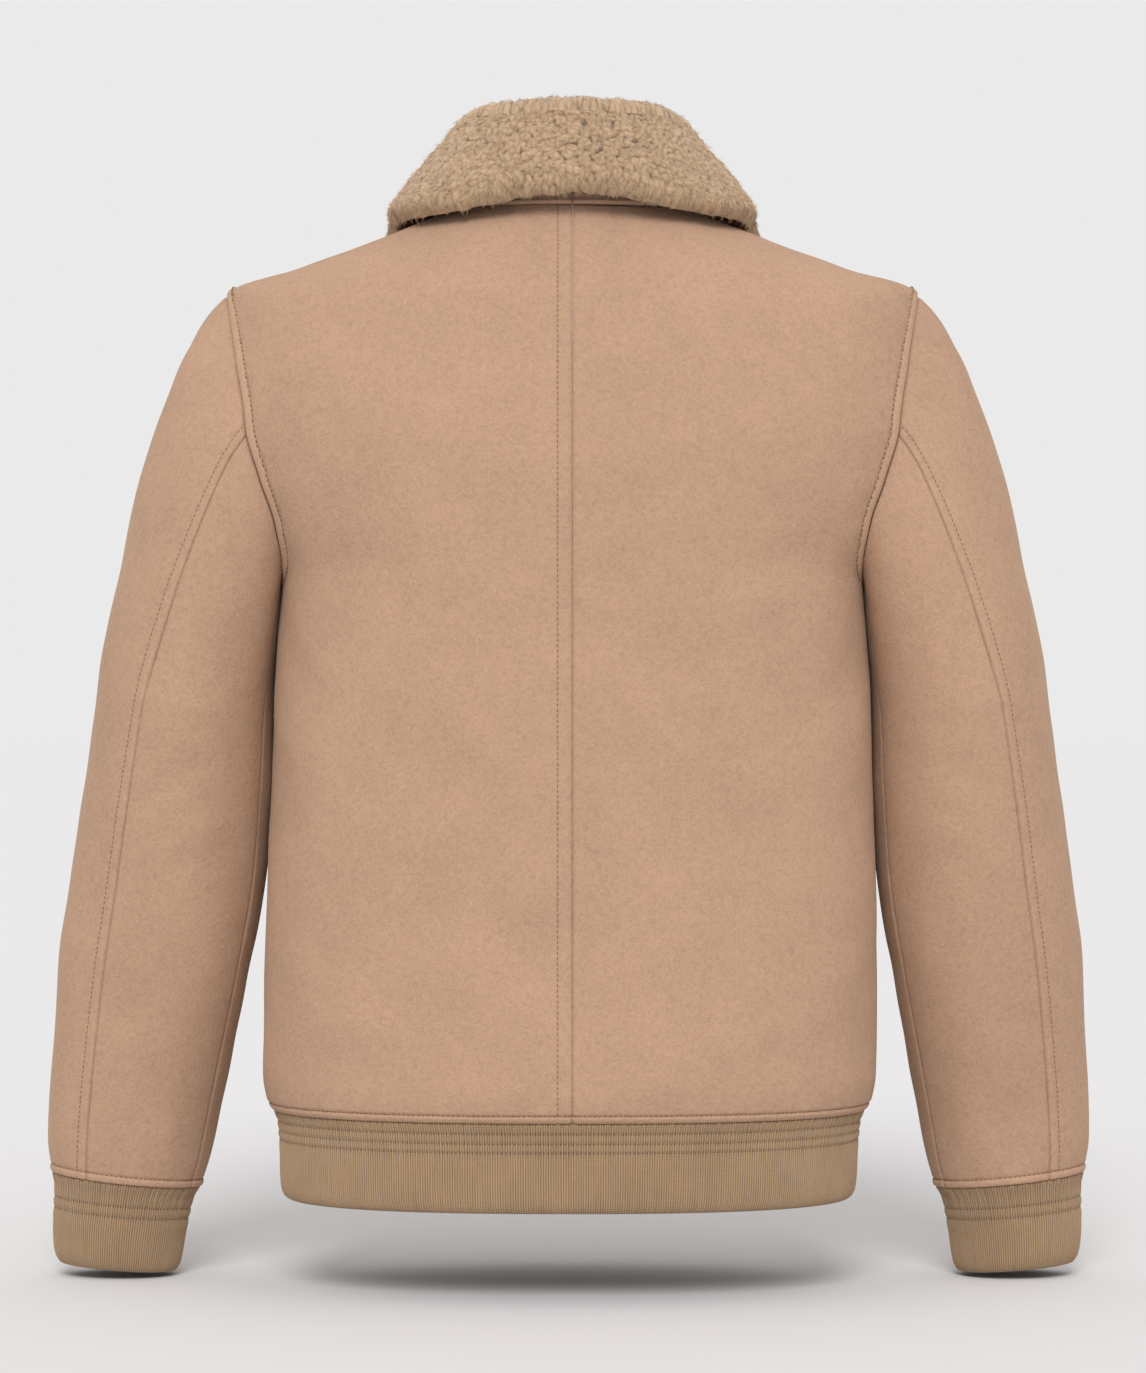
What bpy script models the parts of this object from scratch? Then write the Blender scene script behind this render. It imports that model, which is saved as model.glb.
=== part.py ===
"""Shearling jacket in its worn, hollow form: suede body and sleeves, fleece collar, rib hem and cuffs.

Metres, +Z up. The wearer faces -Y and their left side is +X. The origin is the middle of the neck
opening, at the height of the neck seam, where the wearer's shoulders hold the jacket up.
Every length below is in millimetres, and every angle in degrees, until a mesh is made.
"""

import math

import bmesh
import bpy
import numpy as np
from mathutils import Euler, Vector

MM = 0.001

# Driving dimensions
HIDE_WALL = 5.0  # sheepskin with its short wool on the inside
SLEEVE_WALL = 4.5
RIB_WALL = 5.0  # two layers of knit, folded at the bottom edge
SUEDE_BACKING = 2.0  # skin under the collar's pile
SEAM_GAP = 0.3  # between pieces that are sewn together
HALF_GAP = SEAM_GAP / 2
ARMHOLE_GAP = 0.45

FRONT_OPENING = 12.0  # between the two fronts, where the zip shows
CHAIN_WIDTH = 6.0
CHAIN_THICK = 2.6
CHAIN_DEPTH = 2.3  # from the suede's face back to the chain's face
TAPE_WIDTH = 15.0
TAPE_THICK = 0.9
TAPE_INNER_X = 1.6
ZIP_BOX = (9.0, 3.6, 8.4)  # the retainer at the foot of the chain: wide, thick, high
ZIP_BOX_FOOT = 60.0  # its lower end, below the hem seam
ZIP_BOX_DEPTH = 1.3  # from the knit's face back to its face

RIDGE_WIDTH = 7.5  # seam allowance, turned to the body and topstitched round the armhole
RIDGE_HEIGHT = 1.4
RIDGE_SLOPE = 0.8  # the width over which it falls to the panel

ARMPIT_LEVEL = 365.0
TIP_LEVEL = 545.0
NECK_LEVEL = 645.0
BACK_ARMHOLE = 29.5  # how far the armhole cuts into the back, as an angle round the body
FRONT_ARMHOLE = 32.0
ARMHOLE_EGG = 0.12  # narrower at the shoulder than at the armpit

CAP_RUN = 230.0  # from the armhole to the first regular ring of the sleeve
SLEEVE_RUN = 556.0  # from the armhole to the cuff seam
CAP_LEAVE = 0.70  # how strongly the cap follows its direction at the armhole, as a share of its reach
CAP_ARRIVE = 0.74  # the same, for the sleeve's direction at the cap's end
CAP_OUT_LOW = 0.10  # how far outwards the cap sets off, at the armpit
CAP_OUT_HIGH = 0.78  # and at the shoulder
CAP_TILT_LOW = 5.0  # the lean of its inner line where it ends
CAP_TILT_HIGH = 9.5  # and of its outer line

PILE = [(0, 5.0), (1, 8.0), (3, 9.0), (6, 11.0), (11, 11.5), (12, 6.0)]  # station on the skin, thickness
PILE_AT_ENDS = (0.6, 0.9)  # share of the thickness at the collar's front ends, and next to them
ROLL_RADIUS = 5.0
COLLAR_SEAM_GAP = 0.6
COLLAR_SEAM_FRONT = 0.9  # more of a gap towards the front, where the neck seam curves up quickly
FALL_OVERHANG = 3.0  # how far the pile stands past the skin at the collar's edge
FALL_CLEARANCE = 5.6  # from the body's face to the skin of the fall

SLIDER_LEVEL = 606.0
SLIDER_WIDTH = 10.0
SLIDER_LENGTH = 15.0
SLIDER_RISE = 1.6  # of its face over the suede
BAIL_WIDTH = 2.6
BAIL_LENGTH = 10.4
BAIL_RISE = 6.1
BAIL_THICK = 1.3
BAIL_POST = 1.8
TAB_PIVOT_RISE = 3.2
TAB_LENGTH = 30.0
TAB_WIDTH = 8.0
TAB_THICK = 1.6
TAB_BAR = 1.4
TAB_EYE_WIDTH = 4.4
TAB_EYE_LENGTH = 7.6

SUEDE_COLOUR = (0.52, 0.33, 0.225, 1.0)
FLEECE_COLOUR = (0.50, 0.335, 0.20, 1.0)
RIB_COLOUR = (0.43, 0.275, 0.155, 1.0)
TAPE_COLOUR = (0.33, 0.21, 0.13, 1.0)
METAL_COLOUR = (0.42, 0.33, 0.22, 1.0)


class Table:
    """A short table with named columns, read by a smooth curve through its rows that never overshoots."""

    def __init__(self, names, rows):
        self.names = names.split()
        self.values = np.array(rows, float)

    def at(self, name, where):
        knots = self.values[:, 0]
        heights = self.values[:, self.names.index(name)]
        steps = np.diff(knots)
        slopes = np.diff(heights) / steps
        same_way = slopes[:-1] * slopes[1:] > 0
        mean = np.where(same_way, slopes[:-1] + slopes[1:], 1.0)
        inner = np.where(same_way, 2 * slopes[:-1] * slopes[1:] / mean, 0.0)
        tangents = np.concatenate([[slopes[0]], inner, [slopes[-1]]])
        where = np.clip(np.asarray(where, float), knots[0], knots[-1])
        k = np.clip(np.searchsorted(knots, where, side="right") - 1, 0, len(steps) - 1)
        t = (where - knots[k]) / steps[k]
        rise = tangents[k] * steps[k]
        fall = tangents[k + 1] * steps[k]
        return (
            heights[k] * (1 + 2 * t) * (1 - t) ** 2
            + rise * t * (1 - t) ** 2
            + heights[k + 1] * t**2 * (3 - 2 * t)
            - fall * t**2 * (1 - t)
        )


# Rings round the body, from the hem seam up to the neck seam. Those that pass the armholes are cut there.
BODY = Table(
    "level half_width back_depth front_depth side_z back_z front_z squareness",
    [
        (0, 200.5, 123, 124, -607, -607, -607, 2.45),
        (8, 205.0, 127, 128, -600, -600, -600, 2.45),
        (25, 207.6, 129, 131, -583, -583, -583, 2.45),
        (70, 207.8, 128, 132, -538, -538, -538, 2.45),
        (140, 206.4, 126, 132, -468, -468, -468, 2.45),
        (220, 204.2, 124, 131, -388, -388, -388, 2.45),
        (300, 200.8, 124, 130, -308, -307, -309, 2.5),
        (365, 197.0, 125, 129, -251, -243, -249, 2.55),
        (397, 212.0, 125, 128, -216, -213, -221, 2.6),
        (430, 231.0, 125, 127, -183, -180, -193, 2.6),
        (460, 241.0, 123, 124, -150, -151, -168, 2.6),
        (495, 240.0, 119, 119, -116, -120, -143, 2.55),
        (522, 237.0, 115, 114, -86, -99, -126, 2.4),
        (545, 233.5, 110, 108, -56, -80, -112, 2.2),
        (580, 186.0, 98, 98, -38.7, -48, -97, 2.1),
        (615, 134.0, 85, 88, -19.4, -21, -84, 2.05),
        (645, 86.0, 72, 78, -1, -2, -71, 2.0),
    ],
)

# Rings round the rib hem, from its seam down to its folded edge.
HEM = Table(
    "drop half_width back_depth front_depth",
    [
        (0, 200.0, 122.6, 123.6),
        (10, 197.0, 120.0, 121.0),
        (26, 195.8, 119.0, 120.0),
        (46, 195.2, 118.6, 119.6),
        (56, 193.8, 117.4, 118.4),
        (60.5, 190.0, 114.0, 115.0),
    ],
)
# Stations up the zip tape. A level of -1 marks one on the rib hem, which is placed by its drop.
ZIP = Table(
    "drop level tape_depth",
    [
        (57, -1, 5.9),
        (51, -1, 5.9),
        (26, -1, 5.9),
        (7, -1, 5.9),
        (0, 12, 6.6),
        (0, 40, 5.9),
        (0, 140, 5.9),
        (0, 300, 5.9),
        (0, 430, 5.9),
        (0, 495, 5.9),
        (0, 545, 5.9),
        (0, 580, 5.9),
        (0, 617, 5.9),
        (0, 640, 5.9),
    ],
)
HEM_TOP_Z = -607.0
HEM_SQUARENESS = 2.45
FOLD_ROUND = 8.0

# Rings round the sleeve past its cap, each square to the sleeve's line. Below the seam they are the cuff's.
SLEEVE = Table(
    "run centre_x centre_y centre_z half_width half_depth tilt",
    [
        (230, 263.6, -6, -335, 60.6, 74, 6.0),
        (290, 268.8, -9, -395, 63.6, 67, 6.5),
        (350, 275.3, -14, -455, 65.8, 61, 7.5),
        (400, 283.6, -20, -505, 64.8, 57, 8.4),
        (450, 291.3, -27, -555, 62.2, 53, 8.4),
        (500, 298.1, -34, -605, 59.0, 49.5, 7.4),
        (535, 302.1, -38, -640, 55.8, 46.5, 6.5),
        (556, 304.0, -40, -660, 51.4, 43.5, 6.0),
    ],
)
CUFF = Table(
    "drop centre_x centre_y centre_z half_width half_depth tilt",
    [
        (0, 304.0, -40.0, -660.0, 51.0, 43.0, 6.0),
        (9, 305.6, -41.2, -669.0, 47.6, 39.0, 5.6),
        (22, 307.4, -42.8, -682.0, 46.4, 36.5, 5.2),
        (42, 309.4, -45.0, -702.0, 45.0, 34.5, 4.8),
        (55, 309.9, -46.3, -715.0, 43.2, 33.0, 4.6),
        (62, 309.9, -46.8, -722.0, 39.5, 29.5, 4.6),
    ],
)
# Where the sleeve's two seams run, as an angle round the sleeve from its outermost line towards the back.
SLEEVE_SEAMS = Table(
    "run back_seam under_seam",
    [
        (0, 90, 165),
        (80, 84, 162),
        (150, 76, 159),
        (230, 68, 157),
        (330, 63, 155),
        (556, 62.5, 153),
    ],
)

# Stations round the collar, from the centre back to its front end.
COLLAR = Table(
    "share neck_angle stand lean edge_angle edge_level edge_lift bow",
    [
        (0.00, 0, 55.5, 7, 0, 629, 15, 4),
        (0.20, 38, 52.5, 9, 38, 628, 11, 4),
        (0.38, 72, 39, 15, 76, 629, 7, 3),
        (0.50, 95, 32, 17, 98, 627, 6, 3),
        (0.66, 124, 29, 14, 122, 606, 6, 5),
        (0.82, 150, 24, 9, 140, 572, 5.5, 7),
        (0.93, 165, 19, 5, 150, 536, 5.5, 7),
        (1.00, 174, 15, 3, 156, 512, 5.5, 6),
    ],
)
SWAY = 4.3  # the hem and the cuffs hang this far over towards the wearer's left
SWAY_FROM_Z = -330.0
SWAY_RUN = 390.0


def body_point(angle, level):
    """The body's outer face. The angle runs from the centre back past the wearer's left side to the front."""
    angle = np.radians(angle)
    power = 2 / BODY.at("squareness", level)
    across = np.sin(angle)
    along = np.cos(angle)
    behind = along > 0
    depth = np.where(behind, BODY.at("back_depth", level), BODY.at("front_depth", level))
    side_z = BODY.at("side_z", level)
    middle_z = np.where(behind, BODY.at("back_z", level), BODY.at("front_z", level))
    return np.stack(
        [
            BODY.at("half_width", level) * np.sign(across) * np.abs(across) ** power,
            depth * np.sign(along) * np.abs(along) ** power,
            side_z + (middle_z - side_z) * along**2,
        ],
        axis=-1,
    )


def front_angle_at(x, level):
    """The angle at which the body's ring of this level passes x millimetres beside the centre front."""
    power = BODY.at("squareness", level) / 2
    return 180 - np.degrees(np.arcsin((x / BODY.at("half_width", level)) ** power))


def armhole_level(turn):
    middle = (ARMPIT_LEVEL + TIP_LEVEL) / 2
    half = (TIP_LEVEL - ARMPIT_LEVEL) / 2
    return middle + half * np.cos(np.radians(turn))


def armhole_cut(turn, widest):
    """How far the armhole cuts in, as an angle round the body, at a turn from its top to its bottom, 180."""
    turn = np.radians(turn)
    return widest * np.abs(np.sin(turn)) * (1 - ARMHOLE_EGG * np.cos(turn))


def armhole_point(turn):
    """The armhole seam. The turn runs from the shoulder tip past the back (90) and the armpit (180)."""
    turn = np.asarray(turn, float) % 360
    behind = turn <= 180
    cut = np.where(behind, -armhole_cut(turn, BACK_ARMHOLE), armhole_cut(turn, FRONT_ARMHOLE))
    return body_point(90 + cut, armhole_level(turn))


ARMHOLE_TURNS = np.arange(0, 360, 15.0)
ARMHOLE_MIDDLE = armhole_point(ARMHOLE_TURNS).mean(axis=0)


def towards_armhole_middle(points):
    """Unit vectors in the armhole's upright plane, from its rim towards its middle."""
    away = ARMHOLE_MIDDLE - points
    away[..., 0] *= 0.25
    return away / np.linalg.norm(away, axis=-1, keepdims=True)


def ring_point(turn, centre, half_width, half_depth, tilt):
    """An oval ring square to a limb that leans outwards by the tilt."""
    turn = np.radians(turn)
    tilt = np.radians(tilt)
    outwards = half_width * np.cos(turn)
    return centre + np.stack(
        [outwards * np.cos(tilt), half_depth * np.sin(turn), outwards * np.sin(tilt)], axis=-1
    )


def table_ring(table, turn, where):
    centre = np.stack([table.at(name, where) for name in ("centre_x", "centre_y", "centre_z")], axis=-1)
    sizes = [table.at(name, where) for name in ("half_width", "half_depth", "tilt")]
    return ring_point(turn, centre, *sizes)


def sleeve_point(turn, run):
    """The sleeve's outer face: a cap that leaves the armhole along a smooth curve, then the table's rings."""
    turn, run = np.broadcast_arrays(np.asarray(turn, float), np.asarray(run, float))
    start = armhole_point(turn)
    end = table_ring(SLEEVE, turn, np.full(turn.shape, CAP_RUN))
    reach = np.linalg.norm(end - start, axis=-1, keepdims=True)
    height = (1 + np.cos(np.radians(turn))) / 2
    out = CAP_OUT_LOW + (CAP_OUT_HIGH - CAP_OUT_LOW) * np.sqrt(height)
    leave = np.stack([out, 0 * out, -np.sqrt(1 - out**2)], axis=-1)
    tilt = np.radians(CAP_TILT_LOW + (CAP_TILT_HIGH - CAP_TILT_LOW) * height)
    arrive = np.stack([np.sin(tilt), 0 * tilt, -np.cos(tilt)], axis=-1)
    t = np.clip(run / CAP_RUN, 0, 1)[..., None]
    cap = (
        start * (1 + 2 * t) * (1 - t) ** 2
        + leave * CAP_LEAVE * reach * t * (1 - t) ** 2
        + end * t**2 * (3 - 2 * t)
        - arrive * CAP_ARRIVE * reach * t**2 * (1 - t)
    )
    return np.where((run < CAP_RUN)[..., None], cap, table_ring(SLEEVE, turn, run))


def cuff_point(turn, drop):
    return table_ring(CUFF, turn, drop)


def hem_point(angle, drop):
    angle = np.radians(angle)
    power = 2 / HEM_SQUARENESS
    across = np.sin(angle)
    along = np.cos(angle)
    depth = np.where(along > 0, HEM.at("back_depth", drop), HEM.at("front_depth", drop))
    return np.stack(
        [
            HEM.at("half_width", drop) * np.sign(across) * np.abs(across) ** power,
            depth * np.sign(along) * np.abs(along) ** power,
            HEM_TOP_Z - drop + 0 * across,
        ],
        axis=-1,
    )


def unit(vectors):
    return vectors / np.maximum(np.linalg.norm(vectors, axis=-1, keepdims=True), 1e-9)


def normals_of(grid):
    """Unit normals of a grid of points, on the side that its rows and columns turn towards."""
    return unit(np.cross(np.gradient(grid, axis=0), np.gradient(grid, axis=1)))


def surface_normal(point, first, second, step=0.5):
    """The unit normal of a surface given by a function of two numbers, on the side its directions turn to."""
    along = point(first + step, second) - point(first - step, second)
    across = point(first, second + step) - point(first, second - step)
    return unit(np.cross(along, across))


def body_normal(angle, level):
    return -surface_normal(body_point, angle, level)


def off_the_body(points, clearance):
    """Lifts points that lie too near the body's face, or under it, to the clearance."""
    angles, levels = np.meshgrid(np.arange(0, 181, 3.0), np.arange(440, 646, 5.0))
    places = body_point(angles, levels).reshape(-1, 3)
    normals = body_normal(angles, levels).reshape(-1, 3)
    lifted = points.copy()
    for number, point in enumerate(points):
        nearest = np.argmin(((places - point) ** 2).sum(axis=1))
        height = (point - places[nearest]) @ normals[nearest]
        lifted[number] += normals[nearest] * max(0.0, clearance - height)
    return lifted


def hung(grid):
    """The lower half swings a little to one side, while the centre seam and the zip stay upright."""
    share = np.clip((SWAY_FROM_Z - grid[..., 2]) / SWAY_RUN, 0, 1) ** 1.5
    beside = grid[..., 0] ** 2 / (grid[..., 0] ** 2 + 90.0**2)
    swung = grid.copy()
    swung[..., 0] += SWAY * share * beside
    return swung


def collar_line(share):
    """The skin of the collar at one station: up the stand, over the roll and down the fall, to its edge."""
    here = {name: float(COLLAR.at(name, share)) for name in COLLAR.names[1:]}
    neck = body_point(here["neck_angle"], NECK_LEVEL)
    outwards = unit(neck * np.array([1, 1, 0]))
    up = np.array([0, 0, 1.0])
    foot = neck + up * (COLLAR_SEAM_GAP + COLLAR_SEAM_FRONT * share**2)
    shoulder = foot - outwards * here["lean"] + up * here["stand"]
    middle = shoulder + outwards * ROLL_RADIUS
    lying = body_point(here["edge_angle"], here["edge_level"])
    edge = lying + body_normal(here["edge_angle"], here["edge_level"]) * here["edge_lift"]
    turned = shoulder + outwards * 2 * ROLL_RADIUS
    knee = (turned + edge) / 2 + (outwards + 0.5 * up) * here["bow"]
    stand = [foot + (shoulder - foot) * t for t in (0, 0.35, 0.7)]
    roll = [
        middle + ROLL_RADIUS * (up * math.sin(a) - outwards * math.cos(a))
        for a in np.radians([0, 45, 90, 135, 180])
    ]
    fall = [
        turned * (1 - t) ** 2 + knee * 2 * t * (1 - t) + edge * t**2 for t in (0.25, 0.5, 0.75, 0.93, 1)
    ]
    return np.concatenate([stand, roll, off_the_body(np.array(fall), FALL_CLEARANCE)])


def mirrored(grid):
    return grid * np.array([-1, 1, 1])


def pull_in(outer, inner, first_row=0.0, last_row=0.0, first_column=0.0, last_column=0.0):
    """Moves the rims of a wall inwards along it, which leaves the seam gaps between neighbours."""
    for grid in (outer, inner):
        for amount, rim, inside in (
            (first_row, np.s_[0], np.s_[1]),
            (last_row, np.s_[-1], np.s_[-2]),
            (first_column, np.s_[:, 0], np.s_[:, 1]),
            (last_column, np.s_[:, -1], np.s_[:, -2]),
        ):
            if amount:
                grid[rim] += unit(grid[inside] - grid[rim]) * amount


def named_material(name, colour, roughness, metallic=0.0):
    material = bpy.data.materials.get(name) or bpy.data.materials.new(name)
    material.use_nodes = True
    shader = material.node_tree.nodes["Principled BSDF"]
    shader.inputs["Base Color"].default_value = colour
    shader.inputs["Roughness"].default_value = roughness
    shader.inputs["Metallic"].default_value = metallic
    material.diffuse_color = colour
    return material


def object_from(name, mesh, material, parent=None, smooth_angle=40):
    mesh.materials.append(material)
    mesh.shade_smooth()
    mesh.set_sharp_from_angle(angle=math.radians(smooth_angle))
    made = bpy.data.objects.new(name, mesh)
    bpy.context.scene.collection.objects.link(made)
    made.parent = parent
    return made


def wall(name, outer, inner, material):
    """A closed wall between two grids of the same size, the outer face and the inner one.

    Each four-sided cell is cut along the shorter diagonal of the inner face.
    """
    outer, inner = hung(outer), hung(inner)
    rows, columns = outer.shape[:2]
    falling = np.linalg.norm(inner[:-1, :-1] - inner[1:, 1:], axis=-1)
    rising = np.linalg.norm(inner[:-1, 1:] - inner[1:, :-1], axis=-1)
    bm = bmesh.new()
    near, far = [[[bm.verts.new(point * MM) for point in row] for row in grid] for grid in (outer, inner)]
    for i in range(rows - 1):
        for j in range(columns - 1):
            for grid in (near, far):
                a, b, c, d = grid[i][j], grid[i][j + 1], grid[i + 1][j + 1], grid[i + 1][j]
                halves = ((a, b, c), (a, c, d)) if falling[i, j] <= rising[i, j] else ((a, b, d), (b, c, d))
                for half in halves:
                    bm.faces.new(half if grid is near else half[::-1])
    for i in range(rows - 1):
        for j in (0, columns - 1):
            bm.faces.new((near[i][j], near[i + 1][j], far[i + 1][j], far[i][j]))
    for j in range(columns - 1):
        for i in (0, rows - 1):
            bm.faces.new((near[i][j], near[i][j + 1], far[i][j + 1], far[i][j]))
    bmesh.ops.recalc_face_normals(bm, faces=bm.faces)
    mesh = bpy.data.meshes.new(name)
    bm.to_mesh(mesh)
    bm.free()
    return object_from(name, mesh, material, JACKET)


def pair_of_walls(name, outer, inner, material):
    """The wearer's left piece and its mirror image on the right."""
    wall(name + "_left", outer, inner, material)
    wall(name + "_right", mirrored(outer), mirrored(inner), material)


HEM_LEVELS = np.array([0, 8, 25, 70, 140, 220, 300, 345.0])  # body rows below the armholes
ARMHOLE_ROWS = np.arange(180, -1, -15.0)
YOKE_LEVELS = np.array([580, 615, 645.0])
BODY_LEVELS = np.concatenate([HEM_LEVELS, armhole_level(ARMHOLE_ROWS), YOKE_LEVELS])
PANEL_SHARES = np.array([0, 0.13, 0.27, 0.41, 0.55, 0.68, 0.79, 0.88])


def body_panel(centre_angles, side, widest):
    """Grids of one body panel, rows from hem to neck and columns from its centre edge to its side.

    The last three columns are the ridge that is topstitched round the armhole.
    """
    low = len(HEM_LEVELS)
    high = low + len(ARMHOLE_ROWS)
    cuts = np.zeros(len(BODY_LEVELS))
    cuts[low:high] = armhole_cut(ARMHOLE_ROWS, widest)
    edge_angles = 90 + side * cuts
    levels = BODY_LEVELS[:, None]
    rim = body_point(edge_angles, BODY_LEVELS)
    shares = PANEL_SHARES[None, :]
    square_on = centre_angles[:, None] + (90 - centre_angles[:, None]) * shares
    angles = square_on + side * cuts[:, None] * shares**2
    field = body_point(angles, levels)
    towards_field = unit(field[:, -1] - rim)
    foot = rim + towards_field * (RIDGE_WIDTH + RIDGE_SLOPE)
    top = rim + towards_field * RIDGE_WIDTH
    outer = np.concatenate([field, foot[:, None], top[:, None], rim[:, None]], axis=1)
    field_out = body_normal(angles, levels)
    rim_out = body_normal(edge_angles, BODY_LEVELS)
    ridge_out = unit(field_out[:, -1] + 2 * rim_out)
    out = np.concatenate([field_out, ridge_out[:, None], ridge_out[:, None], rim_out[:, None]], axis=1)
    inner = outer - out * HIDE_WALL
    raised = np.zeros(len(BODY_LEVELS))
    raised[low:high] = RIDGE_HEIGHT * np.maximum(np.sin(np.radians(ARMHOLE_ROWS)) ** 0.5, ARMHOLE_ROWS == 0)
    outer[:, -2] += out[:, -2] * raised[:, None]
    around = towards_armhole_middle(rim[low:high])
    inner[low:high, -1] = rim[low:high] + around * HIDE_WALL
    outer[low:high, -1] -= around * raised[low:high, None]
    for grid in (outer, inner):
        grid[..., 1] = -side * np.maximum(-side * grid[..., 1], HALF_GAP)
        grid[..., 0] = np.maximum(grid[..., 0], HALF_GAP if side < 0 else FRONT_OPENING / 2)
    return outer, inner


def make_body(suede):
    back_outer, back_inner = body_panel(np.zeros(len(BODY_LEVELS)), -1, BACK_ARMHOLE)
    front_edge = front_angle_at(FRONT_OPENING / 2, BODY_LEVELS)
    front_outer, front_inner = body_panel(front_edge, 1, FRONT_ARMHOLE)
    pull_in(back_outer, back_inner, first_row=HALF_GAP)
    pull_in(front_outer, front_inner, first_row=HALF_GAP)
    pair_of_walls("back", back_outer, back_inner, suede)
    pair_of_walls("front", front_outer, front_inner, suede)


SLEEVE_RUNS = np.concatenate([[0, 8, 22, 45, 75, 110, 150, 190], [230, 290, 350, 400, 450, 500, 535, 556]])


def sleeve_panel(first_turns, last_turns, steps):
    """Grids of one sleeve panel, rows from the armhole down and columns round the sleeve."""
    shares = np.linspace(0, 1, steps + 1)[None, :]
    turns = first_turns[:, None] + (last_turns - first_turns)[:, None] * shares
    runs = SLEEVE_RUNS[:, None] + 0 * turns
    outer = sleeve_point(turns, runs)
    inner = outer + surface_normal(sleeve_point, turns, runs) * SLEEVE_WALL
    inner[0] = outer[0] + SLEEVE_WALL * towards_armhole_middle(outer[0])
    for grid in (outer, inner):
        grid[0, :, 0] += ARMHOLE_GAP
        grid[1, :, 0] += ARMHOLE_GAP / 2
    pull_in(outer, inner, last_row=HALF_GAP, first_column=HALF_GAP, last_column=HALF_GAP)
    return outer, inner


def make_sleeves(suede):
    back_seam = SLEEVE_SEAMS.at("back_seam", SLEEVE_RUNS)
    under_seam = SLEEVE_SEAMS.at("under_seam", SLEEVE_RUNS)
    pair_of_walls("under_sleeve", *sleeve_panel(back_seam, under_seam, 5), suede)
    pair_of_walls("top_sleeve", *sleeve_panel(under_seam, back_seam + 360, 19), suede)


def folded_band(outer, inwards, drops, thick):
    """Grids of a knit band whose wall thins to a rounded fold at the bottom."""
    from_fold = np.clip((drops[-1] - drops) / FOLD_ROUND, 0, 1)
    depth = thick * (0.45 + 0.55 * np.sqrt(1 - (1 - from_fold) ** 2))
    return outer, outer + unit(inwards * np.array([1, 1, 0])) * depth[:, None, None]


def make_rib_hem(rib):
    side_by_side = np.append(PANEL_SHARES, 1.0)
    front_edge = float(front_angle_at(FRONT_OPENING / 2, 0.0))
    back_quarter = 90 * side_by_side
    front_quarter = front_edge - (front_edge - 90) * side_by_side
    half = np.concatenate([back_quarter, front_quarter[::-1][1:]])
    angles = np.concatenate([-half[::-1], half[1:]])
    drops = np.array([0, 10, 26, 46, 56, 60.5])
    outer = hem_point(angles[None, :], drops[:, None])
    inwards = -surface_normal(hem_point, angles[None, :], drops[:, None])
    outer, inner = folded_band(outer, inwards, drops, RIB_WALL)
    pull_in(outer, inner, first_row=HALF_GAP)
    wall("rib_hem", outer, inner, rib)


def make_cuffs(rib):
    """Each cuff is one strip, bent round and joined below the sleeve's under seam."""
    seam = float(SLEEVE_SEAMS.at("under_seam", SLEEVE_RUN))
    back = float(SLEEVE_SEAMS.at("back_seam", SLEEVE_RUN))
    turns = np.concatenate([np.linspace(seam, back + 360, 20), np.linspace(back + 360, seam + 360, 6)[1:]])
    drops = np.array([0, 9, 22, 42, 55, 62.0])
    outer = cuff_point(turns[None, :], drops[:, None])
    inwards = surface_normal(cuff_point, turns[None, :], drops[:, None])
    outer, inner = folded_band(outer, inwards, drops, SLEEVE_WALL)
    pull_in(outer, inner, first_row=HALF_GAP, first_column=HALF_GAP, last_column=HALF_GAP)
    pair_of_walls("cuff", outer, inner, rib)


def make_collar(fleece, suede):
    """The pile is the outside of a folded skin: it lines the stand, rolls over and covers the fall."""
    half = np.array([0, 0.1, 0.2, 0.29, 0.38, 0.46, 0.54, 0.62, 0.7, 0.78, 0.86, 0.93, 0.975, 1])
    skin = np.stack([collar_line(share) for share in half])
    whole = np.concatenate([mirrored(skin[::-1]), skin[1:]])
    out = normals_of(whole)
    out[:, 0] = unit(out[:, 0] * np.array([1, 1, 0]))
    from_foot, thickness = np.array(PILE).T
    pile = np.interp(np.arange(whole.shape[1]), from_foot, thickness)
    ends = np.ones(len(whole))
    ends[[0, -1]] = PILE_AT_ENDS[0]
    ends[[1, -2]] = PILE_AT_ENDS[1]
    inner = whole + out * SEAM_GAP
    inner[:, -1] += unit(whole[:, -1] - whole[:, -2]) * FALL_OVERHANG
    outer = inner + out * (ends[:, None] * pile[None, :])[..., None]
    wall("collar", outer, inner, fleece)

    skin_out = out[len(half) - 1 :]
    backing = skin - skin_out * SUEDE_BACKING
    face = skin.copy()
    pull_in(face, backing, first_row=HALF_GAP)
    pair_of_walls("under_collar", face, backing, suede)


def front_strip(xs):
    """Points up the front's face at several distances from its centre, and the ways back into the jacket."""
    above = ZIP.values[ZIP.values[:, 1] >= 0]
    below = ZIP.values[ZIP.values[:, 1] < 0]
    beside = np.maximum(xs, 0.5)[None, :]
    levels = above[:, 1][:, None]
    drops = below[:, 0][:, None]
    power = HEM_SQUARENESS / 2
    hem_angles = 180 - np.degrees(np.arcsin((beside / HEM.at("half_width", drops)) ** power))
    face = np.concatenate([hem_point(hem_angles, drops), body_point(front_angle_at(beside, levels), levels)])
    face[..., 0] = xs
    return face, unit(np.cross(np.gradient(face, axis=0), [1, 0, 0]))


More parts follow.
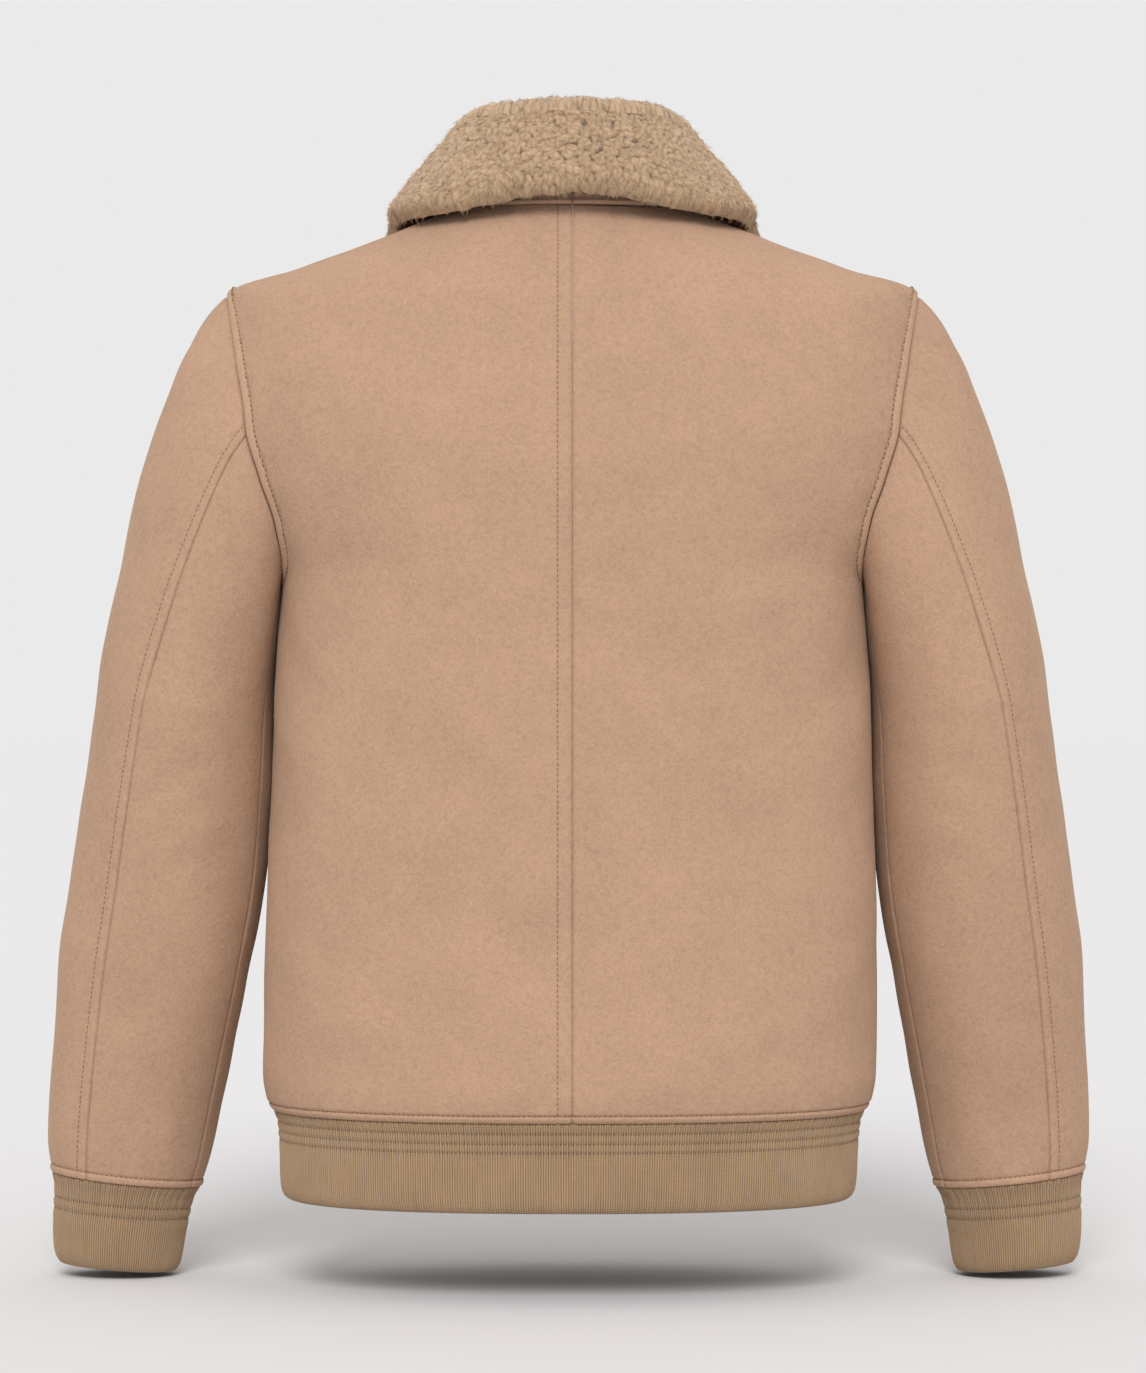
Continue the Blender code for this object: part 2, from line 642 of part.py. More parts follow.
def make_zip(tape, metal):
    face, back = front_strip(np.linspace(TAPE_INNER_X, TAPE_INNER_X + TAPE_WIDTH, 3))
    depth = ZIP.values[:, ZIP.names.index("tape_depth")][:, None, None]
    tape_face = face + back * depth
    pair_of_walls("zip_tape", tape_face, tape_face + back * TAPE_THICK, tape)

    face, back = front_strip(np.array([0.0]))
    sides = np.array([[-CHAIN_WIDTH / 2, 0, 0], [CHAIN_WIDTH / 2, 0, 0]])
    chain_face = face[1:-1] + back[1:-1] * CHAIN_DEPTH + sides
    wall("zip_chain", chain_face, chain_face + back[1:-1] * CHAIN_THICK, metal)

    wide, thick, high = ZIP_BOX
    low = HEM_TOP_Z - ZIP_BOX_FOOT
    front = ZIP_BOX_DEPTH - float(HEM.at("front_depth", ZIP_BOX_FOOT - high))
    corners = ((-wide / 2, front, low), (wide / 2, front + thick, low + high))
    object_from("zip_box", mesh_of_boxes("zip_box", [corners]), metal, JACKET)


def box_object(name, low, high):
    """A box between two corners, in millimetres."""
    low, high = Vector(low), Vector(high)
    bm = bmesh.new()
    bmesh.ops.create_cube(bm, size=1.0)
    bmesh.ops.scale(bm, verts=bm.verts, vec=(high - low) * MM)
    bmesh.ops.translate(bm, verts=bm.verts, vec=(high + low) / 2 * MM)
    mesh = bpy.data.meshes.new(name)
    bm.to_mesh(mesh)
    bm.free()
    made = bpy.data.objects.new(name, mesh)
    bpy.context.scene.collection.objects.link(made)
    return made


def mesh_of_boxes(name, boxes):
    """Boxes joined into one body."""
    pieces = [box_object(f"{name}_{number}", *corners) for number, corners in enumerate(boxes)]
    for other in pieces[1:]:
        join = pieces[0].modifiers.new("join", "BOOLEAN")
        join.operation = "UNION"
        join.object = other
    graph = bpy.context.evaluated_depsgraph_get()
    joined = bpy.data.meshes.new_from_object(pieces[0].evaluated_get(graph))
    for piece in pieces:
        bpy.data.objects.remove(piece)
    bm = bmesh.new()
    bm.from_mesh(joined)
    bmesh.ops.dissolve_limit(bm, angle_limit=math.radians(1), verts=bm.verts, edges=bm.edges)
    bm.to_mesh(joined)
    bm.free()
    return joined


def make_slider(metal):
    """The slider rides on the chain below the collar, and its pull tab turns on the bar under its bail.

    In the slider's own axes -Y points out of the front and -Z runs down the zip.
    """
    place = body_point(180.0, SLIDER_LEVEL)
    along = body_point(180.0, SLIDER_LEVEL - 4) - body_point(180.0, SLIDER_LEVEL + 4)
    carrier = bpy.data.objects.new("slider_place", None)
    bpy.context.scene.collection.objects.link(carrier)
    carrier.location = Vector(place * MM)
    carrier.rotation_euler = Euler((math.atan2(along[1], -along[2]), 0, 0))
    carrier.parent = JACKET

    wide, long = SLIDER_WIDTH / 2, SLIDER_LENGTH / 2
    bail_wide, bail_long = BAIL_WIDTH / 2, BAIL_LENGTH / 2
    face = -SLIDER_RISE
    root = face / 2  # where the bail's posts are buried in the slider
    slider_boxes = [
        ((-wide, face, -long), (wide, CHAIN_DEPTH - SEAM_GAP, long)),
        ((-bail_wide, -BAIL_RISE, -bail_long), (bail_wide, root, BAIL_POST - bail_long)),
        ((-bail_wide, -BAIL_RISE, bail_long - BAIL_POST), (bail_wide, root, bail_long)),
        ((-bail_wide, -BAIL_RISE, -bail_long), (bail_wide, BAIL_THICK - BAIL_RISE, bail_long)),
    ]
    object_from("zip_slider", mesh_of_boxes("zip_slider", slider_boxes), metal, carrier)

    half, bar, eye = TAB_WIDTH / 2, TAB_BAR / 2, TAB_EYE_WIDTH / 2
    arm_end = -TAB_EYE_LENGTH - 1
    tab_boxes = [
        ((-half, -bar, -bar), (half, bar, bar)),
        ((-half, -bar, arm_end), (-eye, bar, bar)),
        ((eye, -bar, arm_end), (half, bar, bar)),
        ((-half, -TAB_THICK / 2, -TAB_LENGTH), (half, TAB_THICK / 2, -TAB_EYE_LENGTH)),
    ]
    tab = object_from("zip_pull_tab", mesh_of_boxes("zip_pull_tab", tab_boxes), metal, carrier)
    tab.location = Vector((0, -TAB_PIVOT_RISE * MM, 0))


def clear_scene():
    for old in list(bpy.data.objects):
        bpy.data.objects.remove(old)


clear_scene()
JACKET = bpy.data.objects.new("jacket", None)
bpy.context.scene.collection.objects.link(JACKET)

suede_side = named_material("suede", SUEDE_COLOUR, 0.9)
wool_side = named_material("fleece", FLEECE_COLOUR, 1.0)
rib_knit = named_material("rib_knit", RIB_COLOUR, 0.95)
zip_tape = named_material("zip_tape", TAPE_COLOUR, 0.9)
brass = named_material("zip_metal", METAL_COLOUR, 0.4, 0.9)

make_body(suede_side)
make_sleeves(suede_side)
make_rib_hem(rib_knit)
make_cuffs(rib_knit)
make_collar(wool_side, suede_side)
make_zip(zip_tape, brass)
make_slider(brass)
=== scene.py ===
"""Shearling jacket seen from behind: the suede, the curly fleece, the rib knit, the sewing and the zip.

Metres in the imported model's frame: +Z up, the wearer faces -Y and their left side is +X.
Every length below is in millimetres, and every angle in degrees, until a mesh is made.
"""

import math

import bpy
import numpy as np
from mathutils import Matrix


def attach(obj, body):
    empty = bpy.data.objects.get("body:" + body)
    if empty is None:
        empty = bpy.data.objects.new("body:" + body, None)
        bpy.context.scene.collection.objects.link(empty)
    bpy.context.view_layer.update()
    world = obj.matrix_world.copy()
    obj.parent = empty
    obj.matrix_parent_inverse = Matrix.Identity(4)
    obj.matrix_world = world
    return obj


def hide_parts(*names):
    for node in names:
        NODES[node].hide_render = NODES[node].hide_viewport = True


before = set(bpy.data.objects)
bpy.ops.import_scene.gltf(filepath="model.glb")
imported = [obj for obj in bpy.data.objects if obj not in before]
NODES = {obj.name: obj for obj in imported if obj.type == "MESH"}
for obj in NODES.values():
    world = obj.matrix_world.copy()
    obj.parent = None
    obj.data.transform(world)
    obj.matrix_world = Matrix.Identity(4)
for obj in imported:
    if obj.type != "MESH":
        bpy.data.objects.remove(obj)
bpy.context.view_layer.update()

MM = 0.001

# Walls and gaps, as in the solids
HIDE_WALL = 5.0
SLEEVE_WALL = 4.5
RIB_WALL = 5.0
SUEDE_BACKING = 2.0
SEAM_GAP = 0.08  # closed up, so that no light comes through the seams
HALF_GAP = SEAM_GAP / 2
ARMHOLE_GAP = 0.1
FRONT_OPENING = 12.0

ARMPIT_LEVEL = 365.0
TIP_LEVEL = 545.0
NECK_LEVEL = 645.0
BACK_ARMHOLE = 29.5
FRONT_ARMHOLE = 32.0
ARMHOLE_EGG = 0.12

CAP_RUN = 230.0
SLEEVE_RUN = 556.0
CAP_LEAVE = 0.70
CAP_ARRIVE = 0.74
CAP_OUT_LOW = 0.10
CAP_OUT_HIGH = 0.78
CAP_TILT_LOW = 5.0
CAP_TILT_HIGH = 9.5

PILE = [(0, 5.0), (1, 8.0), (3, 9.0), (6, 11.0), (11, 11.5), (12, 6.0)]
PILE_AT_ENDS = (0.6, 0.9)
ROLL_RADIUS = 5.0
COLLAR_SEAM_GAP = 0.15
COLLAR_SEAM_FRONT = 0.4
FALL_OVERHANG = 3.0
FALL_CLEARANCE = 5.6

HEM_TOP_Z = -607.0
HEM_SQUARENESS = 2.45
FOLD_ROUND = 8.0
SWAY = 4.3
SWAY_FROM_Z = -330.0
SWAY_RUN = 390.0

# Sewing
STITCH_LONG = 2.5
STITCH_THICK = 0.62
STITCH_PITCH = 3.5
EDGE_TO_STITCH = 7.5  # from a seam to its row of topstitching
CENTRE_TO_STITCH = 9.6  # the same, at the centre back
BAND_HIGH = 4.6  # the plump edge under the last row of stitching, at the hem and the cuffs
RIDGE_HEIGHT = 1.5  # the seam allowance that is turned to the body round the armhole

# Knit
WALE = 1.63
HEM_ELASTIC = (7.8, 14.3, 20.2)  # how far below the suede the rows of elastic stitching run
CUFF_ELASTIC = (16.5, 24.0)


class Table:
    """A short table with named columns, read by a smooth curve through its rows that never overshoots."""

    def __init__(self, names, rows):
        self.names = names.split()
        self.values = np.array(rows, float)

    def at(self, name, where):
        knots = self.values[:, 0]
        heights = self.values[:, self.names.index(name)]
        steps = np.diff(knots)
        slopes = np.diff(heights) / steps
        same_way = slopes[:-1] * slopes[1:] > 0
        mean = np.where(same_way, slopes[:-1] + slopes[1:], 1.0)
        inner = np.where(same_way, 2 * slopes[:-1] * slopes[1:] / mean, 0.0)
        tangents = np.concatenate([[slopes[0]], inner, [slopes[-1]]])
        where = np.clip(np.asarray(where, float), knots[0], knots[-1])
        k = np.clip(np.searchsorted(knots, where, side="right") - 1, 0, len(steps) - 1)
        t = (where - knots[k]) / steps[k]
        rise = tangents[k] * steps[k]
        fall = tangents[k + 1] * steps[k]
        return (
            heights[k] * (1 + 2 * t) * (1 - t) ** 2
            + rise * t * (1 - t) ** 2
            + heights[k + 1] * t**2 * (3 - 2 * t)
            - fall * t**2 * (1 - t)
        )


BODY = Table(
    "level half_width back_depth front_depth side_z back_z front_z squareness",
    [
        (0, 200.5, 123, 124, -607, -607, -607, 2.45),
        (8, 205.0, 127, 128, -600, -600, -600, 2.45),
        (25, 207.6, 129, 131, -583, -583, -583, 2.45),
        (70, 207.8, 128, 132, -538, -538, -538, 2.45),
        (140, 206.4, 126, 132, -468, -468, -468, 2.45),
        (220, 204.2, 124, 131, -388, -388, -388, 2.45),
        (300, 200.8, 124, 130, -308, -307, -309, 2.5),
        (365, 197.0, 125, 129, -251, -243, -249, 2.55),
        (397, 212.0, 125, 128, -216, -213, -221, 2.6),
        (430, 231.0, 125, 127, -183, -180, -193, 2.6),
        (460, 241.0, 123, 124, -150, -151, -168, 2.6),
        (495, 240.0, 119, 119, -116, -120, -143, 2.55),
        (522, 237.0, 115, 114, -86, -99, -126, 2.4),
        (545, 233.5, 110, 108, -56, -80, -112, 2.2),
        (580, 186.0, 98, 98, -38.7, -48, -97, 2.1),
        (615, 134.0, 85, 88, -19.4, -21, -84, 2.05),
        (645, 86.0, 72, 78, -1, -2, -71, 2.0),
    ],
)
HEM = Table(
    "drop half_width back_depth front_depth",
    [
        (0, 200.0, 122.6, 123.6),
        (10, 197.0, 120.0, 121.0),
        (26, 195.8, 119.0, 120.0),
        (46, 195.2, 118.6, 119.6),
        (56, 193.8, 117.4, 118.4),
        (60.5, 190.0, 114.0, 115.0),
    ],
)
SLEEVE = Table(
    "run centre_x centre_y centre_z half_width half_depth tilt",
    [
        (230, 263.6, -6, -335, 60.6, 74, 6.0),
        (290, 268.8, -9, -395, 63.6, 67, 6.5),
        (350, 275.3, -14, -455, 65.8, 61, 7.5),
        (400, 283.6, -20, -505, 64.8, 57, 8.4),
        (450, 291.3, -27, -555, 62.2, 53, 8.4),
        (500, 298.1, -34, -605, 59.0, 49.5, 7.4),
        (535, 302.1, -38, -640, 55.8, 46.5, 6.5),
        (556, 304.0, -40, -660, 51.4, 43.5, 6.0),
    ],
)
CUFF = Table(
    "drop centre_x centre_y centre_z half_width half_depth tilt",
    [
        (0, 304.0, -40.0, -660.0, 51.0, 43.0, 6.0),
        (9, 305.6, -41.2, -669.0, 47.6, 39.0, 5.6),
        (22, 307.4, -42.8, -682.0, 46.4, 36.5, 5.2),
        (42, 309.4, -45.0, -702.0, 45.0, 34.5, 4.8),
        (55, 309.9, -46.3, -715.0, 43.2, 33.0, 4.6),
        (62, 309.9, -46.8, -722.0, 39.5, 29.5, 4.6),
    ],
)
SLEEVE_SEAMS = Table(
    "run back_seam under_seam",
    [
        (0, 90, 165),
        (80, 84, 162),
        (150, 76, 159),
        (230, 68, 157),
        (330, 63, 155),
        (556, 62.5, 153),
    ],
)
COLLAR = Table(
    "share neck_angle stand lean edge_angle edge_level edge_lift bow",
    [
        (0.00, 0, 55.5, 7, 0, 629, 15, 4),
        (0.20, 38, 52.5, 9, 38, 628, 11, 4),
        (0.38, 72, 39, 15, 76, 629, 7, 3),
        (0.50, 95, 32, 17, 98, 627, 6, 3),
        (0.66, 124, 29, 14, 122, 606, 6, 5),
        (0.82, 150, 24, 9, 140, 572, 5.5, 7),
        (0.93, 165, 19, 5, 150, 536, 5.5, 7),
        (1.00, 174, 15, 3, 156, 512, 5.5, 6),
    ],
)


def body_point(angle, level):
    """An oval ring with squared sides at each level: half its width by sine, its depth by cosine, both to a power.

    The angle runs from the centre back past the wearer's left side to the front.
    """
    angle = np.radians(angle)
    power = 2 / BODY.at("squareness", level)
    across = np.sin(angle)
    along = np.cos(angle)
    behind = along > 0
    depth = np.where(behind, BODY.at("back_depth", level), BODY.at("front_depth", level))
    side_z = BODY.at("side_z", level)
    middle_z = np.where(behind, BODY.at("back_z", level), BODY.at("front_z", level))
    return np.stack(
        [
            BODY.at("half_width", level) * np.sign(across) * np.abs(across) ** power,
            depth * np.sign(along) * np.abs(along) ** power,
            side_z + (middle_z - side_z) * along**2,
        ],
        axis=-1,
    )


def front_angle_at(x, level):
    """The angle at which the body's ring of this level passes x millimetres beside the centre front."""
    power = BODY.at("squareness", level) / 2
    return 180 - np.degrees(np.arcsin((x / BODY.at("half_width", level)) ** power))


def armhole_level(turn):
    middle = (ARMPIT_LEVEL + TIP_LEVEL) / 2
    half = (TIP_LEVEL - ARMPIT_LEVEL) / 2
    return middle + half * np.cos(np.radians(turn))


def armhole_cut(turn, widest):
    """How far the armhole cuts into the panel: a half circle with a slight egg, by its turn from the top."""
    turn = np.radians(turn)
    return widest * np.abs(np.sin(turn)) * (1 - ARMHOLE_EGG * np.cos(turn))


def armhole_point(turn):
    """The armhole seam. The turn runs from the shoulder tip past the back (90) and the armpit (180)."""
    turn = np.asarray(turn, float) % 360
    behind = turn <= 180
    cut = np.where(behind, -armhole_cut(turn, BACK_ARMHOLE), armhole_cut(turn, FRONT_ARMHOLE))
    return body_point(90 + cut, armhole_level(turn))


ARMHOLE_MIDDLE = armhole_point(np.arange(0, 360, 15.0)).mean(axis=0)


def towards_armhole_middle(points):
    """Unit vectors in the armhole's upright plane, from its rim towards its middle."""
    away = ARMHOLE_MIDDLE - points
    away[..., 0] *= 0.25
    return away / np.linalg.norm(away, axis=-1, keepdims=True)


def table_ring(table, turn, where):
    """An oval ring square to a limb that leans outwards by the table's tilt."""
    centre = np.stack([table.at(name, where) for name in ("centre_x", "centre_y", "centre_z")], axis=-1)
    half_width, half_depth, tilt = [table.at(name, where) for name in ("half_width", "half_depth", "tilt")]
    turn, tilt = np.radians(turn), np.radians(tilt)
    outwards = half_width * np.cos(turn)
    ring = [outwards * np.cos(tilt), half_depth * np.sin(turn), outwards * np.sin(tilt)]
    return centre + np.stack(ring, axis=-1)


def sleeve_point(turn, run):
    """The sleeve's outer face: a cap that leaves the armhole along a smooth cubic, then the table's rings."""
    turn, run = np.broadcast_arrays(np.asarray(turn, float), np.asarray(run, float))
    start = armhole_point(turn)
    end = table_ring(SLEEVE, turn, np.full(turn.shape, CAP_RUN))
    reach = np.linalg.norm(end - start, axis=-1, keepdims=True)
    height = (1 + np.cos(np.radians(turn))) / 2
    out = CAP_OUT_LOW + (CAP_OUT_HIGH - CAP_OUT_LOW) * np.sqrt(height)
    leave = np.stack([out, 0 * out, -np.sqrt(1 - out**2)], axis=-1)
    tilt = np.radians(CAP_TILT_LOW + (CAP_TILT_HIGH - CAP_TILT_LOW) * height)
    arrive = np.stack([np.sin(tilt), 0 * tilt, -np.cos(tilt)], axis=-1)
    t = np.clip(run / CAP_RUN, 0, 1)[..., None]
    cap = (
        start * (1 + 2 * t) * (1 - t) ** 2
        + leave * CAP_LEAVE * reach * t * (1 - t) ** 2
        + end * t**2 * (3 - 2 * t)
        - arrive * CAP_ARRIVE * reach * t**2 * (1 - t)
    )
    return np.where((run < CAP_RUN)[..., None], cap, table_ring(SLEEVE, turn, run))


def cuff_point(turn, drop):
    return table_ring(CUFF, turn, drop)


def hem_point(angle, drop):
    """The rib hem's outer face: the same squared oval as the body's, by how far it hangs below the suede."""
    angle = np.radians(angle)
    power = 2 / HEM_SQUARENESS
    across = np.sin(angle)
    along = np.cos(angle)
    depth = np.where(along > 0, HEM.at("back_depth", drop), HEM.at("front_depth", drop))
    return np.stack(
        [
            HEM.at("half_width", drop) * np.sign(across) * np.abs(across) ** power,
            depth * np.sign(along) * np.abs(along) ** power,
            HEM_TOP_Z - drop + 0 * across,
        ],
        axis=-1,
    )


def unit(vectors):
    return vectors / np.maximum(np.linalg.norm(vectors, axis=-1, keepdims=True), 1e-9)


def normals_of(grid):
    """Unit normals of a grid of points, on the side that its rows and columns turn towards."""
    return unit(np.cross(np.gradient(grid, axis=0), np.gradient(grid, axis=1)))


def surface_normal(point, first, second, step=0.5):
    """The unit normal of a surface given by a function of two numbers, on the side its directions turn to."""
    along = point(first + step, second) - point(first - step, second)
    across = point(first, second + step) - point(first, second - step)
    return unit(np.cross(along, across))


def body_normal(angle, level):
    return -surface_normal(body_point, angle, level)


def off_the_body(points, clearance):
    """Lifts points that lie too near the body's face, or under it, to the clearance."""
    angles, levels = np.meshgrid(np.arange(0, 181, 3.0), np.arange(440, 646, 5.0))
    places = body_point(angles, levels).reshape(-1, 3)
    normals = body_normal(angles, levels).reshape(-1, 3)
    nearest = np.argmin(((places[None] - points[:, None]) ** 2).sum(axis=-1), axis=1)
    height = ((points - places[nearest]) * normals[nearest]).sum(axis=-1, keepdims=True)
    return points + normals[nearest] * np.maximum(0.0, clearance - height)


def hung(grid):
    """The lower half swings a little to one side, while the centre seam and the zip stay upright."""
    share = np.clip((SWAY_FROM_Z - grid[..., 2]) / SWAY_RUN, 0, 1) ** 1.5
    beside = grid[..., 0] ** 2 / (grid[..., 0] ** 2 + 90.0**2)
    swung = grid.copy()
    swung[..., 0] += SWAY * share * beside
    return swung


def collar_line(share):
    """The skin of the collar at one station: up the stand, over the roll and down the fall, to its edge."""
    here = {name: float(COLLAR.at(name, share)) for name in COLLAR.names[1:]}
    neck = body_point(here["neck_angle"], NECK_LEVEL)
    outwards = unit(neck * np.array([1, 1, 0]))
    up = np.array([0, 0, 1.0])
    foot = neck + up * (COLLAR_SEAM_GAP + COLLAR_SEAM_FRONT * share**2)
    shoulder = foot - outwards * here["lean"] + up * here["stand"]
    middle = shoulder + outwards * ROLL_RADIUS
    lying = body_point(here["edge_angle"], here["edge_level"])
    edge = lying + body_normal(here["edge_angle"], here["edge_level"]) * here["edge_lift"]
    turned = shoulder + outwards * 2 * ROLL_RADIUS
    knee = (turned + edge) / 2 + (outwards + 0.5 * up) * here["bow"]
    stand = [foot + (shoulder - foot) * t for t in (0, 0.35, 0.7)]
    roll = [
        middle + ROLL_RADIUS * (up * math.sin(a) - outwards * math.cos(a))
        for a in np.radians([0, 45, 90, 135, 180])
    ]
    fall = [
        turned * (1 - t) ** 2 + knee * 2 * t * (1 - t) + edge * t**2 for t in (0.25, 0.5, 0.75, 0.93, 1)
    ]
    return np.concatenate([stand, roll, off_the_body(np.array(fall), FALL_CLEARANCE)])


def mirrored(grid):
    return grid * np.array([-1, 1, 1])


# Helpers for meshes


def mesh_object(name, points, faces, materials, sharp=None):
    """A mesh from points in millimetres and arrays of corner numbers, each with three or four columns."""
    mesh = bpy.data.meshes.new(name)
    corners = np.concatenate([block.ravel() for block in faces]).astype(np.int32)
    sizes = np.concatenate([np.full(len(block), block.shape[1]) for block in faces])
    starts = np.concatenate([[0], np.cumsum(sizes)[:-1]]).astype(np.int32)
    mesh.vertices.add(len(points))
    mesh.vertices.foreach_set("co", (points * MM).astype(np.float32).ravel())
    mesh.loops.add(len(corners))
    mesh.loops.foreach_set("vertex_index", corners)
    mesh.polygons.add(len(sizes))
    mesh.polygons.foreach_set("loop_start", starts)
    mesh.update(calc_edges=True)
    for material in materials:
        mesh.materials.append(material)
    mesh.shade_smooth()
    if sharp:
        mesh.set_sharp_from_angle(angle=math.radians(sharp))
    made = bpy.data.objects.new(name, mesh)
    bpy.context.scene.collection.objects.link(made)
    return made


def set_attribute(made, name, values, columns=1):
    """Stores numbers on the mesh's points, for its material: one number each, or a vector of three."""
    kind = "FLOAT" if columns == 1 else "FLOAT_VECTOR"
    attribute = made.data.attributes.new(name, kind, "POINT")
    key = "value" if columns == 1 else "vector"
    attribute.data.foreach_set(key, np.asarray(values, np.float32).ravel())


def cells(numbers):
    """The four-sided cells of a grid of point numbers."""
    return np.stack(
        [numbers[:-1, :-1], numbers[:-1, 1:], numbers[1:, 1:], numbers[1:, :-1]], axis=-1
    ).reshape(-1, 4)


def rim_faces(fine, coarse):
    """Triangles between a fine edge and one with every second of its points."""
    start, half, end = fine[:-2:2], fine[1::2], fine[2::2]
    return np.concatenate(
        [
            np.stack([half, start, coarse[:-1]], axis=-1),
            np.stack([half, coarse[:-1], coarse[1:]], axis=-1),
            np.stack([end, half, coarse[1:]], axis=-1),
        ]
    )


def shell(name, outer, inner, materials, sharp=None):
    """A closed wall: the outer grid, the inner grid at half its rows and columns, and a rim between them.

    Both grids have an odd number of rows and columns. The second material is the inner face's.
    """
    inner = inner[::2, ::2]
    outside = np.arange(outer.shape[0] * outer.shape[1]).reshape(outer.shape[:2])
    inside = np.arange(inner.shape[0] * inner.shape[1]).reshape(inner.shape[:2]) + outside.size
    front = cells(outside)
    back = cells(inside)[:, ::-1]
    rims = np.concatenate(
        [
            rim_faces(outside[0], inside[0]),
            rim_faces(outside[-1, ::-1], inside[-1, ::-1]),
            rim_faces(outside[::-1, 0], inside[::-1, 0]),
            rim_faces(outside[:, -1], inside[:, -1]),
        ]
    )
    points = np.concatenate([outer.reshape(-1, 3), inner.reshape(-1, 3)])
    thickness = outer[::2, ::2] - inner
    if (normals_of(outer)[::2, ::2] * thickness).sum() > 0:
        front, back, rims = front[:, ::-1], back[:, ::-1], rims[:, ::-1]
    made = mesh_object(name, points, [front, rims, back], materials, sharp)
    if len(materials) > 1:
        slots = np.zeros(len(made.data.polygons), np.int32)
        slots[-len(back) :] = 1
        made.data.polygons.foreach_set("material_index", slots)
    return made


def with_inside(outer_values, inner_value=0.0):
    """Values on a shell's outer grid, followed by one value for all of its inner grid."""
    coarse = outer_values[::2, ::2]
    return np.concatenate([outer_values.ravel(), np.full(coarse.size, inner_value)])


def stations(length, from_start, from_end, pitch):
    """Distances along a length: those given from its two ends and even steps between, an odd number in all."""
    steps = int(round((length - from_start[-1] - from_end[-1]) / pitch))
    steps += (steps + len(from_start) + len(from_end) - 1) % 2 == 0
    middle = np.linspace(0, 1, steps + 1)[1:-1]
    return np.array(from_start), middle, np.array(from_end)


def spread(lengths, parts):
    """The same stations on rows of different lengths: fixed at both ends, and stretched between them."""
    start, middle, end = parts
    lengths = lengths[:, None]
    first, last = start[-1], lengths - end[-1]
    return np.concatenate(
        [start + 0 * lengths, first + (last - first) * middle, lengths - end[::-1]], axis=1
    )


def along_rows(points, parameter, wanted):
    """For rows of points with their parameter, the parameter at wanted distances along each row."""
    steps = np.linalg.norm(np.diff(points, axis=1), axis=-1)
    travelled = np.concatenate([np.zeros((len(points), 1)), np.cumsum(steps, axis=1)], axis=1)
    found = np.empty(wanted(travelled[:, -1]).shape)
    for row, distances in enumerate(wanted(travelled[:, -1])):
        found[row] = np.interp(distances, travelled[row], parameter[row])
    return found, wanted(travelled[:, -1]), travelled[:, -1]


def refined(grid, rows, columns):
    """A smooth grid through the points of a coarse one, read at fractional rows and columns.

    The curve between two points is the cubic whose slopes come from their neighbours.
    """

    def along_first(values, where):
        k = np.clip(np.floor(where).astype(int), 0, len(values) - 2)
        t = (where - k).reshape((-1,) + (1,) * (values.ndim - 1))
        before = values[np.maximum(k - 1, 0)]
        here, there = values[k], values[k + 1]
        after = values[np.minimum(k + 2, len(values) - 1)]
        return (
            here
            + 0.5 * t * (there - before)
            + t**2 * (before - 2.5 * here + 2 * there - 0.5 * after)
            + t**3 * (1.5 * (here - there) + 0.5 * (after - before))
        )

    down = along_first(grid, np.asarray(rows, float))
    return np.swapaxes(along_first(np.swapaxes(down, 0, 1), np.asarray(columns, float)), 0, 1)


def swell(points, size, seed):
    """Smooth unevenness between about -1 and 1: seven sine waves of about one size in seeded directions."""
    chance = np.random.default_rng(seed)
    total = np.zeros(points.shape[:-1])
    for _ in range(7):
        way = unit(chance.normal(size=3))
        total += np.sin((points @ way) * math.tau / (size * chance.uniform(0.7, 1.5)) + chance.uniform(0, 6.3))
    return total / 3.2


def nearest_on(path, points):
    """For each point, its distance to a path of points and the share of the path where it is nearest."""
    flat = points.reshape(-1, 3)
    distance = np.full(len(flat), 1e9)
    share = np.zeros(len(flat))
    for k, (start, end) in enumerate(zip(path[:-1], path[1:])):
        side = end - start
        t = np.clip((flat - start) @ side / (side @ side), 0, 1)
        away = np.linalg.norm(flat - start - t[:, None] * side, axis=-1)
        closer = away < distance
        distance[closer] = away[closer]
        share[closer] = (k + t[closer]) / (len(path) - 1)
    return distance.reshape(points.shape[:-1]), share.reshape(points.shape[:-1])


def curved(point, ends, bow=0.0, count=9):
    """A path on a surface between two places given by its two numbers, bowed sideways by a share of itself."""
    (a0, b0), (a1, b1) = ends
    t = np.linspace(0, 1, count)
    arch = bow * 4 * t * (1 - t)
    return point(a0 + (a1 - a0) * t - arch * (b1 - b0), b0 + (b1 - b0) * t + arch * (a1 - a0))


def creases(points, point, rows):
    """Soft troughs and ridges at listed places: each a bell across its path, fading to nothing at both ends.

    A row is first place, last place, bow, half its width, and its height in millimetres.
    """
    height = np.zeros(points.shape[:-1])
    for start, end, bow, half_width, rise in rows:
        distance, share = nearest_on(curved(point, (start, end), bow), points)
        fade = np.sin(np.pi * np.clip(share, 0, 1)) ** 0.7
        height += rise * fade * np.exp(-((distance / half_width) ** 2))
    return height


def bell(distance, centre, half_width):
    return np.exp(-(((distance - centre) / half_width) ** 2))


def step_up(values, low, high):
    t = np.clip((values - low) / (high - low), 0, 1)
    return t * t * (3 - 2 * t)


# Shaders


